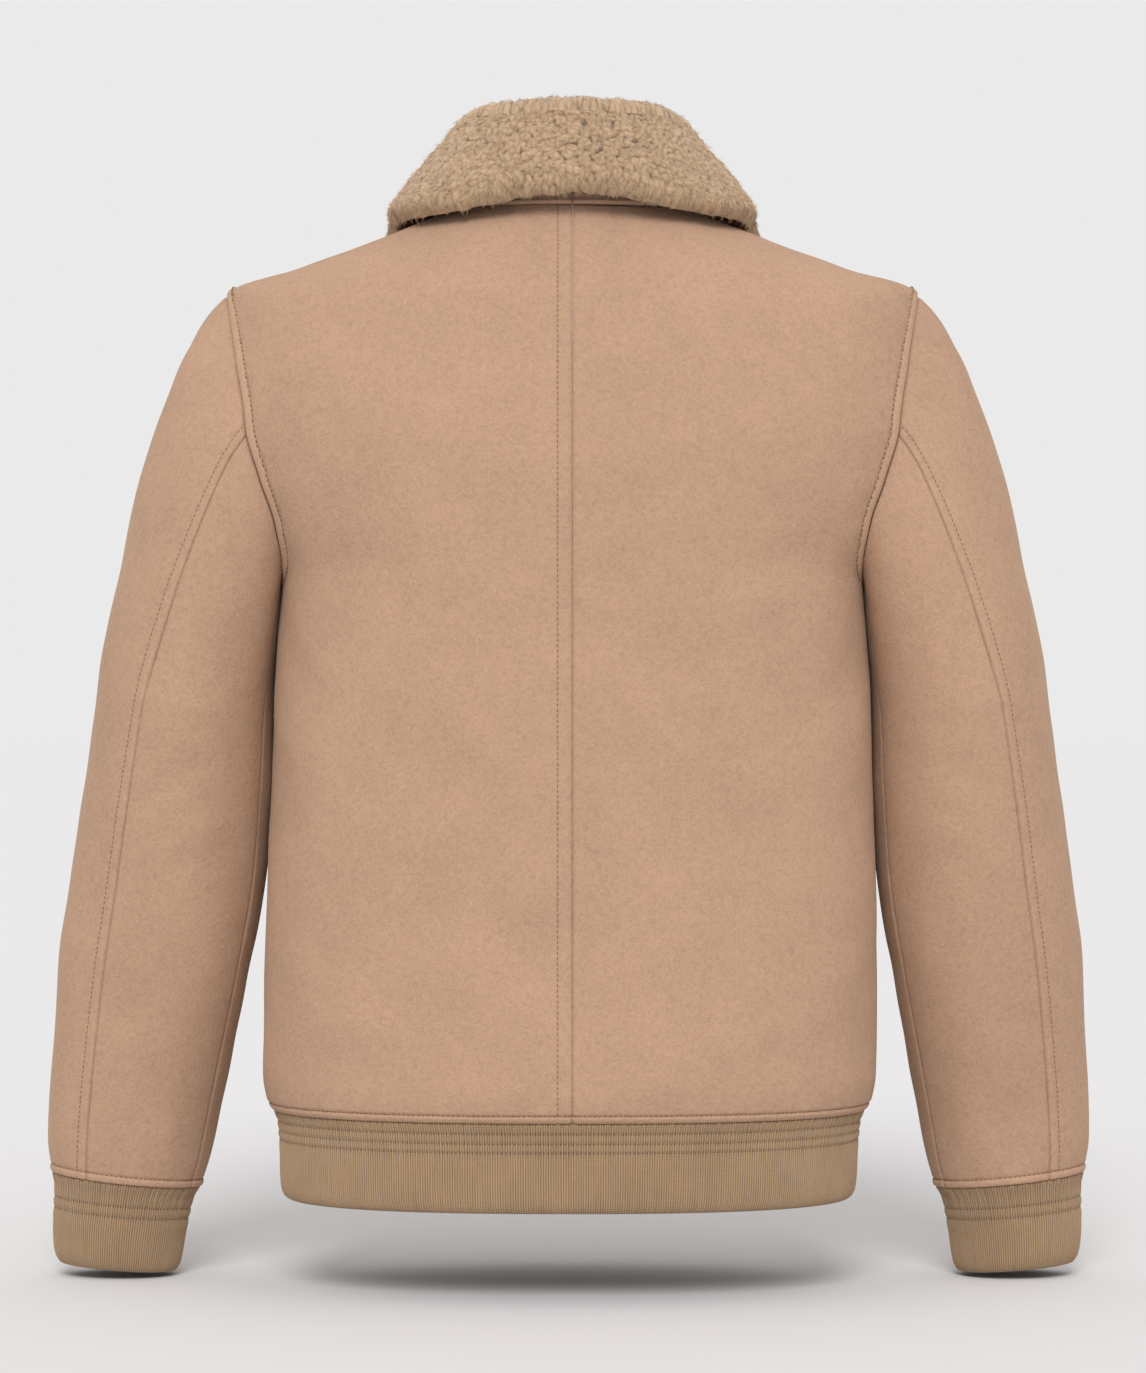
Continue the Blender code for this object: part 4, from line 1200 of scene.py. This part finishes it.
def lock_field(across, down, seed):
    """Locks of wool, overlapping like scales: the highest of the domes round each point.

    Each lock is a bent oval on a jittered grid. It lies down and outwards near the collar's ends and is rounder
    near the centre back. Its tip stands higher than its root. Gives its height, its own two directions, a tone
    and its angle.
    """
    best = np.full(across.shape, 0.0)
    found = [np.zeros(across.shape) for _ in range(4)]
    column = np.floor(across / LOCK_CELL).astype(int)
    row = np.floor(down / LOCK_CELL).astype(int)
    chance = np.random.default_rng(seed)
    table = chance.uniform(0, 1, (8, 512, 128))
    for step_x in range(-2, 3):
        for step_y in range(-2, 3):
            i, j = column + step_x, row + step_y
            r = table[:, i % 512, j % 128]
            centre_x = (i + 0.1 + 0.8 * r[0]) * LOCK_CELL
            centre_y = (j + 0.1 + 0.8 * r[1]) * LOCK_CELL
            side = np.clip(centre_x / 110, -1, 1)
            lean = 0.95 * side + (r[2] - 0.5) * (2.5 - 1.7 * np.abs(side))
            long = (3.7 + 2.5 * np.abs(side)) * (0.8 + 0.4 * r[3])
            wide = (2.5 + 0.2 * np.abs(side)) * (0.8 + 0.4 * r[4])
            x, y = across - centre_x, down - centre_y
            a = x * np.sin(lean) + y * np.cos(lean)
            b = x * np.cos(lean) - y * np.sin(lean)
            bend = (r[5] - 0.5) * 1.5
            b = b - bend * a * a / long
            dome = np.clip(1 - (a / long) ** 2 - (b / wide) ** 2, 0, None) ** 0.5
            height = dome * (0.72 + 0.42 * a / long) + 0.3 * r[6] * (dome > 0)
            higher = height > best
            best = np.where(higher, height, best)
            values = (a, b, r[7], lean)
            found = [np.where(higher, value, kept) for value, kept in zip(values, found)]
    return best, found


def make_collar(wool, suede):
    """The pile lines the stand, rolls over and covers the fall; its thickness is PILE's, with locks on it."""
    skin, shares = collar_skin()
    chance = np.random.default_rng(5)
    middle = (len(skin) - 1) / 2
    reach = np.linspace(-1, 1, 577)
    rows = middle + middle * (0.8 * reach + 0.2 * reach**3)
    columns = np.concatenate([np.linspace(0, 3, 18)[:-1], np.linspace(3, 7, 25)[:-1], np.linspace(7, 12, 92)])
    fine = refined(skin, rows, columns)
    share = np.interp(rows, np.arange(len(skin)), shares)
    out = normals_of(fine)
    out[:, 0] = unit(out[:, 0] * np.array([1, 1, 0]))
    from_foot, thickness = np.array(PILE).T
    pile = np.interp(columns, from_foot, thickness)
    pile[columns > 11] = 11.5 * np.sqrt(np.clip(1 - (columns[columns > 11] - 11) ** 2 * 0.93, 0, 1))
    ends = np.interp(share, [0.93, 0.975, 1], [1, PILE_AT_ENDS[1], PILE_AT_ENDS[0]])
    across = distances_along(fine, 0)[:, -1]
    across = across - across[len(rows) // 2]
    fine = shortened(fine, columns, edge_trim(across))
    out = normals_of(fine)
    out[:, 0] = unit(out[:, 0] * np.array([1, 1, 0]))
    inner = fine + out * 0.3
    beyond = unit(fine[:, -1] - fine[:, -3])
    droop = TUCK * np.clip((columns - 10.2) / 1.8, 0, 1) ** 2
    inner = inner + beyond[:, None] * (FALL_OVERHANG * np.clip(columns - 11, 0, 1))[None, :, None]
    across = distances_along(fine, 0)
    across = across - across[len(rows) // 2]
    down = distances_along(fine, 1)
    down = down - down[:, np.searchsorted(columns, ROLL_STATION)][:, None]
    high, (a, b, tone, lean) = lock_field(across, down, 7)
    rough = 0.5 * swell(fine, 16.0, 71) + 0.35 * swell(fine, 7.0, 72)
    quiet = np.clip(columns / 1.5, 0, 1) * (0.55 + 0.45 * np.clip((columns - 4) / 2, 0, 1))
    relief = (LOCK_HIGH * (high - 0.62) + rough) * quiet[None, :]
    tips = np.clip(1 - (columns[-1] - columns) / 1.2, 0, 1)
    relief = relief * (1 - 0.35 * tips)[None, :]
    outer = inner + out * np.maximum(ends[:, None] * pile[None, :] + relief - droop[None, :], 0.6)[..., None]
    inner = inner - out * np.minimum(droop, 1.0)[None, :, None]
    ragged = (0.9 * high + 0.5 * swell(fine, 9.0, 73)) * tips[None, :] * 1.6
    outer = outer + beyond[:, None] * ragged[..., None]
    made = shell("collar_fleece", outer, inner, [wool])
    strand = np.stack([with_inside(a), with_inside(b), with_inside(tone)], axis=-1)
    set_attribute(made, "strand", strand, 3)
    # the inner face gets a low height, so the fleece colour paints it in painted shade
    set_attribute(made, "high", with_inside(high, 0.2))
    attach(made, "jacket")
    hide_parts("collar")
    make_wisps(outer, across, columns, lean, high, chance, wool)
    make_under_collar(skin, suede)
    return made


def make_wisps(outer, across, columns, lean, high, chance, wool):
    """Loose hairs on the locks: thin tapered ribbons that set off along their lock, lift and curl back."""
    count = 13_500
    rows_at = chance.integers(2, outer.shape[0] - 2, count)
    shown = np.flatnonzero(columns > 2.5)
    columns_at = shown[chance.integers(0, len(shown), count)]
    root = outer[rows_at, columns_at]
    right = unit(outer[rows_at + 1, columns_at] - outer[rows_at - 1, columns_at])
    below = unit(outer[rows_at, np.minimum(columns_at + 1, outer.shape[1] - 1)] - outer[rows_at, columns_at - 1])
    out = unit(np.cross(right, below))
    angle = lean[rows_at, columns_at] + chance.normal(0, 0.45, count)
    along = unit(right * np.sin(angle)[:, None] + below * np.cos(angle)[:, None])
    sideways = unit(np.cross(out, along))
    long = chance.uniform(2.2, 6.0, count)[:, None]
    curl = chance.normal(0, 0.55, count)[:, None]
    lift = chance.uniform(0.05, 0.42, count)[:, None]
    t = np.array([0, 0.35, 0.7, 1.0])
    width = np.array([0.22, 0.2, 0.13, 0.03])
    line = (
        root[:, None]
        + along[:, None] * (long * t)[..., None]
        + sideways[:, None] * (curl * long * t**2)[..., None]
        + out[:, None] * (long * lift * (t - 0.55 * t**2) * 1.6)[..., None]
        - out[:, None] * 0.15
    )
    turn = chance.uniform(-0.8, 0.8, count)[:, None, None]
    edge = sideways[:, None] * np.cos(turn) + out[:, None] * np.sin(turn)
    points = np.stack([line - edge * width[None, :, None], line + edge * width[None, :, None]], axis=2)
    base = np.arange(len(t) * 2).reshape(len(t), 2)
    faces = (cells(base)[None] + (np.arange(count) * len(t) * 2)[:, None, None]).reshape(-1, 4)
    made = mesh_object("collar_wisps", points.reshape(-1, 3), [faces], [wool])
    tone = np.repeat(chance.uniform(0, 1, count), len(t) * 2)
    strand = np.stack([0 * tone, 0 * tone, tone], axis=-1)
    set_attribute(made, "strand", strand, 3)
    # the loose hairs take a tip's height, so the fleece colour paints them pale as painted highlight
    set_attribute(made, "high", np.full(len(tone), 0.95))
    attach(made, "jacket")


def make_under_collar(skin, suede):
    """The suede stand and the backing of the fall, in two halves with a seam at the centre back."""
    half = skin[COLLAR_HALF_STATIONS - 1 :]
    rows = np.concatenate([np.linspace(0, 1.2, 9)[:-1], np.linspace(1.2, COLLAR_HALF_STATIONS - 1, 110)])
    columns = np.concatenate([np.linspace(0, 0.6, 19)[:-1], np.linspace(0.6, 12, 61)])
    rows = rows if len(rows) % 2 else np.delete(rows, 30)
    columns = columns if len(columns) % 2 else np.delete(columns, 40)
    fine = refined(half, rows, columns)
    fine = shortened(fine, columns, edge_trim(distances_along(fine, 0)[:, -1]) + 4.0)
    out = normals_of(fine)
    from_centre = distances_along(fine, 0)
    from_seam = distances_along(fine, 1)
    relief = rolled_in(from_centre) + 0.75 * bell(from_seam, 1.7, 1.5) + stitch_channel(from_seam, 3.9, 0.3)
    relief -= 0.8 * np.exp(-((from_seam / 0.8) ** 2))
    relief += 0.25 * swell(fine, 24.0, 81)
    relief = relief * np.clip((8 - columns) / 2, 0.1, 1)[None, :]
    backing = fine - out * (SUEDE_BACKING + relief)[..., None]
    face = fine.copy()
    for grid in (face, backing):
        grid[0] += unit(grid[1] - grid[0]) * HALF_GAP
    # Colour mask: the raised lip over the neck seam is paler, as painted highlight. The stitch channel and the centre
    # seam are darker, as painted shade.
    worn = 0.3 * bell(from_seam, 1.7, 1.3) - 0.3 * bell(from_seam, 3.9, 0.8) - 0.5 * np.exp(-((from_centre / 1.1) ** 2))
    for suffix, turned in (("_left", lambda grid: grid), ("_right", mirrored)):
        made = shell("under_collar_suede" + suffix, hung(turned(backing)), hung(turned(face)), [suede])
        set_attribute(made, "worn", with_inside(worn))
        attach(made, "jacket")
        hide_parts("under_collar" + suffix)
    column = int(np.argmin(np.abs(from_seam[40] - 3.9)))
    sew_pair(backing[1:, column] - out[1:, column] * 0.1, -out[1:, column], long=2.0, pitch=3.0, thick=0.5)


# Rib knit

HEM_ROWS = [0, 1.6, 3.4, 5.4, 7.0, 7.8, 8.6, 10.8, 13.5, 14.3, 15.1, 17.4, 19.4, 20.2, 21.0]
HEM_ROWS += [25, 31, 38, 45, 51, 55, 57.8, 59.4, 60.2, 60.5]
CUFF_ROWS = [0, 1.6, 3.4, 5.4, 8.0, 11.0, 13.8, 15.7, 16.5, 17.3, 19.8, 23.2, 24.0, 24.8, 28]
CUFF_ROWS += [33, 38, 43, 48, 52.5, 56.5, 59.3, 60.9, 61.7, 62]
COLUMNS_PER_WALE = 4


def knit_relief(around, drop, elastic, last):
    """Ribs one wale wide, sunk at the elastic rows, with soft gathers above the first of them."""
    wale = np.abs(np.cos(math.pi * around / WALE)) ** 0.8
    sunk = sum(bell(drop, row, 0.9) for row in elastic)
    puffed = sum(bell(drop, row + 3.2, 2.0) for row in elastic)
    gathers = np.sin(around / 0.72 + 1.9 * np.sin(around / 5.3)) + 0.6 * np.sin(around / 1.7 + 1.3)
    above = np.clip(1 - drop / (elastic[0] + 1.0), 0, 1) ** 0.6
    between = np.clip(1 - np.abs(drop - elastic[-1] + 5) / 12, 0, 1)
    relief = 0.42 * wale + 0.42 * gathers * (0.9 * above + 0.3 * between) - 0.62 * sunk + 0.28 * puffed
    relief -= 0.9 * np.exp(-((drop / 1.3) ** 2))
    from_fold = np.clip((last - drop) / 2.6, 0, 1)
    return relief - 1.1 * (1 - np.sqrt(1 - (1 - from_fold) ** 2))


def knit_band(name, node, point, turns, around, drops, wall, elastic, knit, turned):
    """A fine grid on a folded band of knit, with its distance round and down kept for the material."""
    outer = point(turns[None, :], drops[:, None])
    sign = -1 if point is hem_point else 1
    inwards = sign * surface_normal(point, turns[None, :], drops[:, None])
    flat = unit(inwards * np.array([1, 1, 0]))
    from_fold = np.clip((drops[-1] - drops) / FOLD_ROUND, 0, 1)
    depth = wall * (0.45 + 0.55 * np.sqrt(1 - (1 - from_fold) ** 2))
    inner = outer + flat * depth[:, None, None]
    relief = knit_relief(around[None, :], drops[:, None], elastic, drops[-1])
    inner = inner + flat * (0.2 * np.cos(math.tau * around / WALE))[None, :, None]
    outer = outer - inwards * relief[..., None]
    for grid in (outer, inner):
        grid[0] += unit(grid[1] - grid[0]) * HALF_GAP
        if point is cuff_point:
            grid[:, 0] += unit(grid[:, 1] - grid[:, 0]) * HALF_GAP
            grid[:, -1] += unit(grid[:, -2] - grid[:, -1]) * HALF_GAP
    made = shell(name, hung(turned(outer)), hung(turned(inner)), [knit])
    rows, columns = np.broadcast_arrays(drops[:, None], around[None, :])
    beat = 0.5 + 0.5 * np.cos(math.tau * columns / 2.7)
    # dots marks the elastic's sunk stitch holes, for their bump and their painted shade
    dots = sum(bell(rows, row, 0.75) for row in elastic) * beat**2
    coarse = np.stack([columns[::2, ::2].ravel(), rows[::2, ::2].ravel(), 0 * rows[::2, ::2].ravel()], axis=-1)
    fine = np.stack([columns.ravel(), rows.ravel(), dots.ravel()], axis=-1)
    set_attribute(made, "knit", np.concatenate([fine, coarse]), 3)
    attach(made, "jacket")
    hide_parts(node)
    return made


def make_rib_hem(knit):
    edge = float(front_angle_at(FRONT_OPENING / 2, 0.0))
    dense = np.linspace(-edge, edge, 6001)
    ring = hem_point(dense, np.full(dense.shape, 26.0))
    travelled = np.concatenate([[0], np.cumsum(np.linalg.norm(np.diff(ring, axis=0), axis=-1))])
    wales = int(travelled[-1] / WALE)
    around = np.linspace(0, wales * WALE, wales * COLUMNS_PER_WALE + 1)
    turns = np.interp(around * travelled[-1] / around[-1], travelled, dense)
    made = knit_band(
        "hem_knit", "rib_hem", hem_point, turns, around, np.array(HEM_ROWS), RIB_WALL, HEM_ELASTIC, knit, lambda g: g
    )
    return made


def make_cuffs(knit):
    seam = float(SLEEVE_SEAMS.at("under_seam", SLEEVE_RUN))
    dense = np.linspace(seam, seam + 360, 3001)
    ring = cuff_point(dense, np.full(dense.shape, 26.0))
    travelled = np.concatenate([[0], np.cumsum(np.linalg.norm(np.diff(ring, axis=0), axis=-1))])
    wales = int(travelled[-1] / WALE)
    around = np.linspace(0, wales * WALE, wales * COLUMNS_PER_WALE + 1)
    turns = np.interp(around * travelled[-1] / around[-1], travelled, dense)
    for suffix, turned in (("_left", lambda grid: grid), ("_right", mirrored)):
        knit_band(
            "cuff_knit" + suffix,
            "cuff" + suffix,
            cuff_point,
            turns,
            around,
            np.array(CUFF_ROWS),
            SLEEVE_WALL,
            CUFF_ELASTIC,
            knit,
            turned,
        )


def fleece_material():
    """Curly wool: fine hairs that follow each lock; darker between the locks and paler at their tips, by each lock's
    height, as painted shade and painted highlight.
    """
    s = Shader("fleece")
    place = s.place()
    strand = s.attribute("strand", "Vector")
    split = s.node("ShaderNodeSeparateXYZ", Vector=strand)
    tone = Wire(s, split.socket.node.outputs[2])
    high = s.attribute("high")
    stretched = s.scaled(strand, (0.16, 1.25, 40.0))
    hairs = s.noise(stretched, 1.0, 4.0, 0.62, 0.5)
    curls = s.noise(place, 330.0, 3.0, 0.6, 2.6)
    fuzz = s.noise(place, 1500.0, 2.0, 0.6)
    patch = s.noise(place, 45.0, 2.0, 0.5)
    # painted shade in the hollows between locks and painted highlight on their tips, from each lock's height
    painted_shade_by_height = high.ramp(0.3, 1.05)
    value = (
        painted_shade_by_height * 0.62
        + (hairs - 0.5) * 0.85
        + (curls - 0.5) * 0.4
        + (fuzz - 0.5) * 0.35
        + (tone - 0.5) * 0.22
        + (patch - 0.5) * 0.2
        + 0.16
    ).clamped()
    base = s.node(
        "ShaderNodeValToRGB",
        {
            "stops": [
                (0.0, tinted(WOOL, 0.5)),
                (0.35, tinted(WOOL, 0.86)),
                (0.7, tinted(WOOL, 1.06)),
                (1.0, tinted(WOOL, 1.26)),
            ]
        },
        _0=value,
    )
    relief = s.bump(hairs * 0.8 + curls * 0.35 + fuzz * 0.2, 0.0011, 0.9)
    return s.finish(
        Base_Color=base,
        Roughness=0.95,
        Specular_IOR_Level=0.12,
        Sheen_Weight=0.45,
        Sheen_Roughness=0.5,
        Sheen_Tint=(1.0, 0.9, 0.78, 1.0),
        Normal=relief,
    )


def knit_material():
    """Fine rib: small loops down each wale. The darkening between the ribs and at the elastic's sunk stitches is
    painted shade.
    """
    s = Shader("rib_knit")
    place = s.place()
    knit = s.attribute("knit", "Vector")
    split = s.node("ShaderNodeSeparateXYZ", Vector=knit)
    around = Wire(s, split.socket.node.outputs[0])
    drop = Wire(s, split.socket.node.outputs[1])
    dots = Wire(s, split.socket.node.outputs[2])
    rib = s.maths("ABSOLUTE", s.maths("COSINE", around * (math.pi / WALE)))
    lean = s.maths("ABSOLUTE", s.maths("SINE", around * (math.tau / WALE)))
    loops = s.maths("SINE", drop * (math.tau / 1.25) + lean * 2.2)
    fuzz = s.noise(place, 1700.0, 2.0, 0.6)
    patch = s.noise(place, 30.0, 2.0, 0.5)
    streak = s.noise(s.scaled(knit, (0.6, 0.03, 0.0)), 1.0, 2.0, 0.6)
    # rib lightens the rib tops and dots darkens the elastic's sunk stitches: painted shade in the valleys and holes
    tone = (
        0.12
        + rib * 0.5
        + loops * 0.07
        + (fuzz - 0.5) * 0.45
        + (patch - 0.5) * 0.25
        + (streak - 0.5) * 0.35
        - dots * 0.75
    ).clamped()
    base = s.mixed(tone, tinted(KNIT, 0.42), tinted(KNIT, 1.3))
    relief = s.bump(rib * 0.9 + loops * 0.25 + fuzz * 0.25 - dots * 0.8, 0.0004, 0.8)
    return s.finish(
        Base_Color=base,
        Roughness=0.95,
        Specular_IOR_Level=0.1,
        Sheen_Weight=0.25,
        Sheen_Roughness=0.5,
        Normal=relief,
    )


def thread_material():
    """Twisted thread: fine slanting plies, one stitch a little darker than the next."""
    s = Shader("thread")
    tone = s.attribute("tone")
    plies = s.noise(s.place(), 2600.0, 1.0, 0.5)
    value = (0.35 + (plies - 0.5) * 0.9 + tone * 0.3).clamped()
    base = s.mixed(value, tinted(THREAD, 0.7), tinted(THREAD, 1.35))
    return s.finish(
        Base_Color=base, Roughness=0.7, Specular_IOR_Level=0.3, Normal=s.bump(plies, 0.0002, 0.6)
    )


def tape_material():
    """Woven tape: a fine herringbone of ribs across it."""
    s = Shader("zip_tape")
    place = s.place()
    split = s.node("ShaderNodeSeparateXYZ", Vector=place)
    x = split
    z = Wire(s, split.socket.node.outputs[2])
    weft = s.maths("SINE", z * (math.tau / 0.0009) + s.maths("ABSOLUTE", x) * 5200.0)
    fuzz = s.noise(place, 2200.0, 2.0, 0.6)
    value = (0.5 + weft * 0.22 + (fuzz - 0.5) * 0.6).clamped()
    base = s.mixed(value, tinted(TAPE, 0.6), tinted(TAPE, 1.3))
    return s.finish(
        Base_Color=base,
        Roughness=0.85,
        Specular_IOR_Level=0.2,
        Sheen_Weight=0.2,
        Normal=s.bump(weft * 0.5 + fuzz * 0.4, 0.00025, 0.8),
    )


def brass_material():
    """Antique brass: darker in patches, paler where hands rub it, with fine scratches."""
    s = Shader("antique_brass")
    place = s.place()
    cloud = s.noise(place, 260.0, 3.0, 0.6)
    scratch = s.noise(s.scaled(place, (2600.0, 2600.0, 300.0)), 1.0, 2.0, 0.6)
    value = (0.5 + (cloud - 0.5) * 1.2 + (scratch - 0.5) * 0.4).clamped()
    base = s.mixed(value, tinted(BRASS, 0.5), tinted(BRASS, 1.15))
    return s.finish(
        Base_Color=base,
        Metallic=0.95,
        Roughness=0.5 - (value - 0.5) * 0.25,
        Normal=s.bump(scratch, 0.00006, 0.5),
    )


# Studio

CAMERA_FAR = 3.0  # metres from the side seams' plane, along +Y
CAMERA_HIGH = -0.322
IMAGE_HIGH = 0.9336  # metres of that plane that the photograph's height takes in
FLOOR_Z = -0.728
BACKGROUND = colour(235, 234, 234)


def far_light(name, strength, breadth, from_above, heading):
    """A broad light far away, as a large soft box is: leaned over from overhead, then turned to its heading."""
    data = bpy.data.lights.new(name, "SUN")
    data.angle = math.radians(breadth)
    data.energy = strength
    made = bpy.data.objects.new(name, data)
    bpy.context.scene.collection.objects.link(made)
    made.rotation_euler = (math.radians(from_above), 0, math.radians(heading))
    return made


def make_studio():
    """A pale floor, an even pale surround that lights all sides, and one large soft light over the camera."""
    scene = bpy.context.scene
    scene.view_settings.view_transform = "Standard"
    data = bpy.data.cameras.new("camera")
    data.sensor_fit = "VERTICAL"
    data.sensor_height = 36.0
    data.lens = data.sensor_height * CAMERA_FAR / IMAGE_HIGH
    data.clip_start = 0.05
    data.clip_end = 60.0
    camera = bpy.data.objects.new("camera", data)
    scene.collection.objects.link(camera)
    camera.location = (-0.0004, CAMERA_FAR, CAMERA_HIGH)
    camera.rotation_euler = (math.radians(90), 0, math.radians(180))
    scene.camera = camera

    world = bpy.data.worlds.new("studio")
    world.use_nodes = True
    sky = world.node_tree.nodes["Background"]
    sky.inputs["Color"].default_value = BACKGROUND
    scene.world = world

    s = Shader("pale_floor")
    patch = s.noise(s.place(), 3.0, 2.0, 0.5)
    base = s.mixed(patch, tinted(BACKGROUND, FLOOR_SHARE * 0.995), tinted(BACKGROUND, FLOOR_SHARE * 1.005))
    pale = s.finish(Base_Color=base, Roughness=1.0, Specular_IOR_Level=0.0)
    turns = np.linspace(0, math.tau, 97)[:-1]
    reaches = np.array([0.0, 2000.0, 6000.0, 14000.0, 30000.0])
    ring = np.stack([np.cos(turns), np.sin(turns), 0 * turns], axis=-1)
    points = (ring[None] * reaches[1:, None, None]).reshape(-1, 3)
    points = np.concatenate([points, [[0, 0, 0]]]) + [0, 0, FLOOR_Z / MM]
    numbers = np.arange(len(points) - 1).reshape(len(reaches) - 1, len(turns))
    numbers = np.concatenate([numbers, numbers[:, :1]], axis=1)
    hub = np.full(len(turns), len(points) - 1)
    middle = np.stack([hub, numbers[0, :-1], numbers[0, 1:]], axis=-1)
    floor = mesh_object("floor", points, [cells(numbers)[:, ::-1], middle], [pale])
    far_light("key", KEY_STRENGTH, 24.0, 53.0, 177.0)


FLOOR_SHARE = 0.81  # of the background's brightness, which the key brings up to the same
KEY_STRENGTH = 2.1


# The jacket

suede_hide = suede_material()
inside_wool = plain_wool_material()
curly_wool = fleece_material()
rib = knit_material()
sewing_thread = thread_material()
tape_weave = tape_material()
old_brass = brass_material()

make_body(suede_hide, inside_wool)
make_sleeves(suede_hide, inside_wool)
make_collar(curly_wool, suede_hide)
make_rib_hem(rib)
make_cuffs(rib)
make_stitches(sewing_thread)
for node in ("zip_tape_left", "zip_tape_right"):
    NODES[node].data.materials.clear()
    NODES[node].data.materials.append(tape_weave)
for node in ("zip_chain", "zip_box", "zip_slider", "zip_pull_tab"):
    NODES[node].data.materials.clear()
    NODES[node].data.materials.append(old_brass)
make_studio()
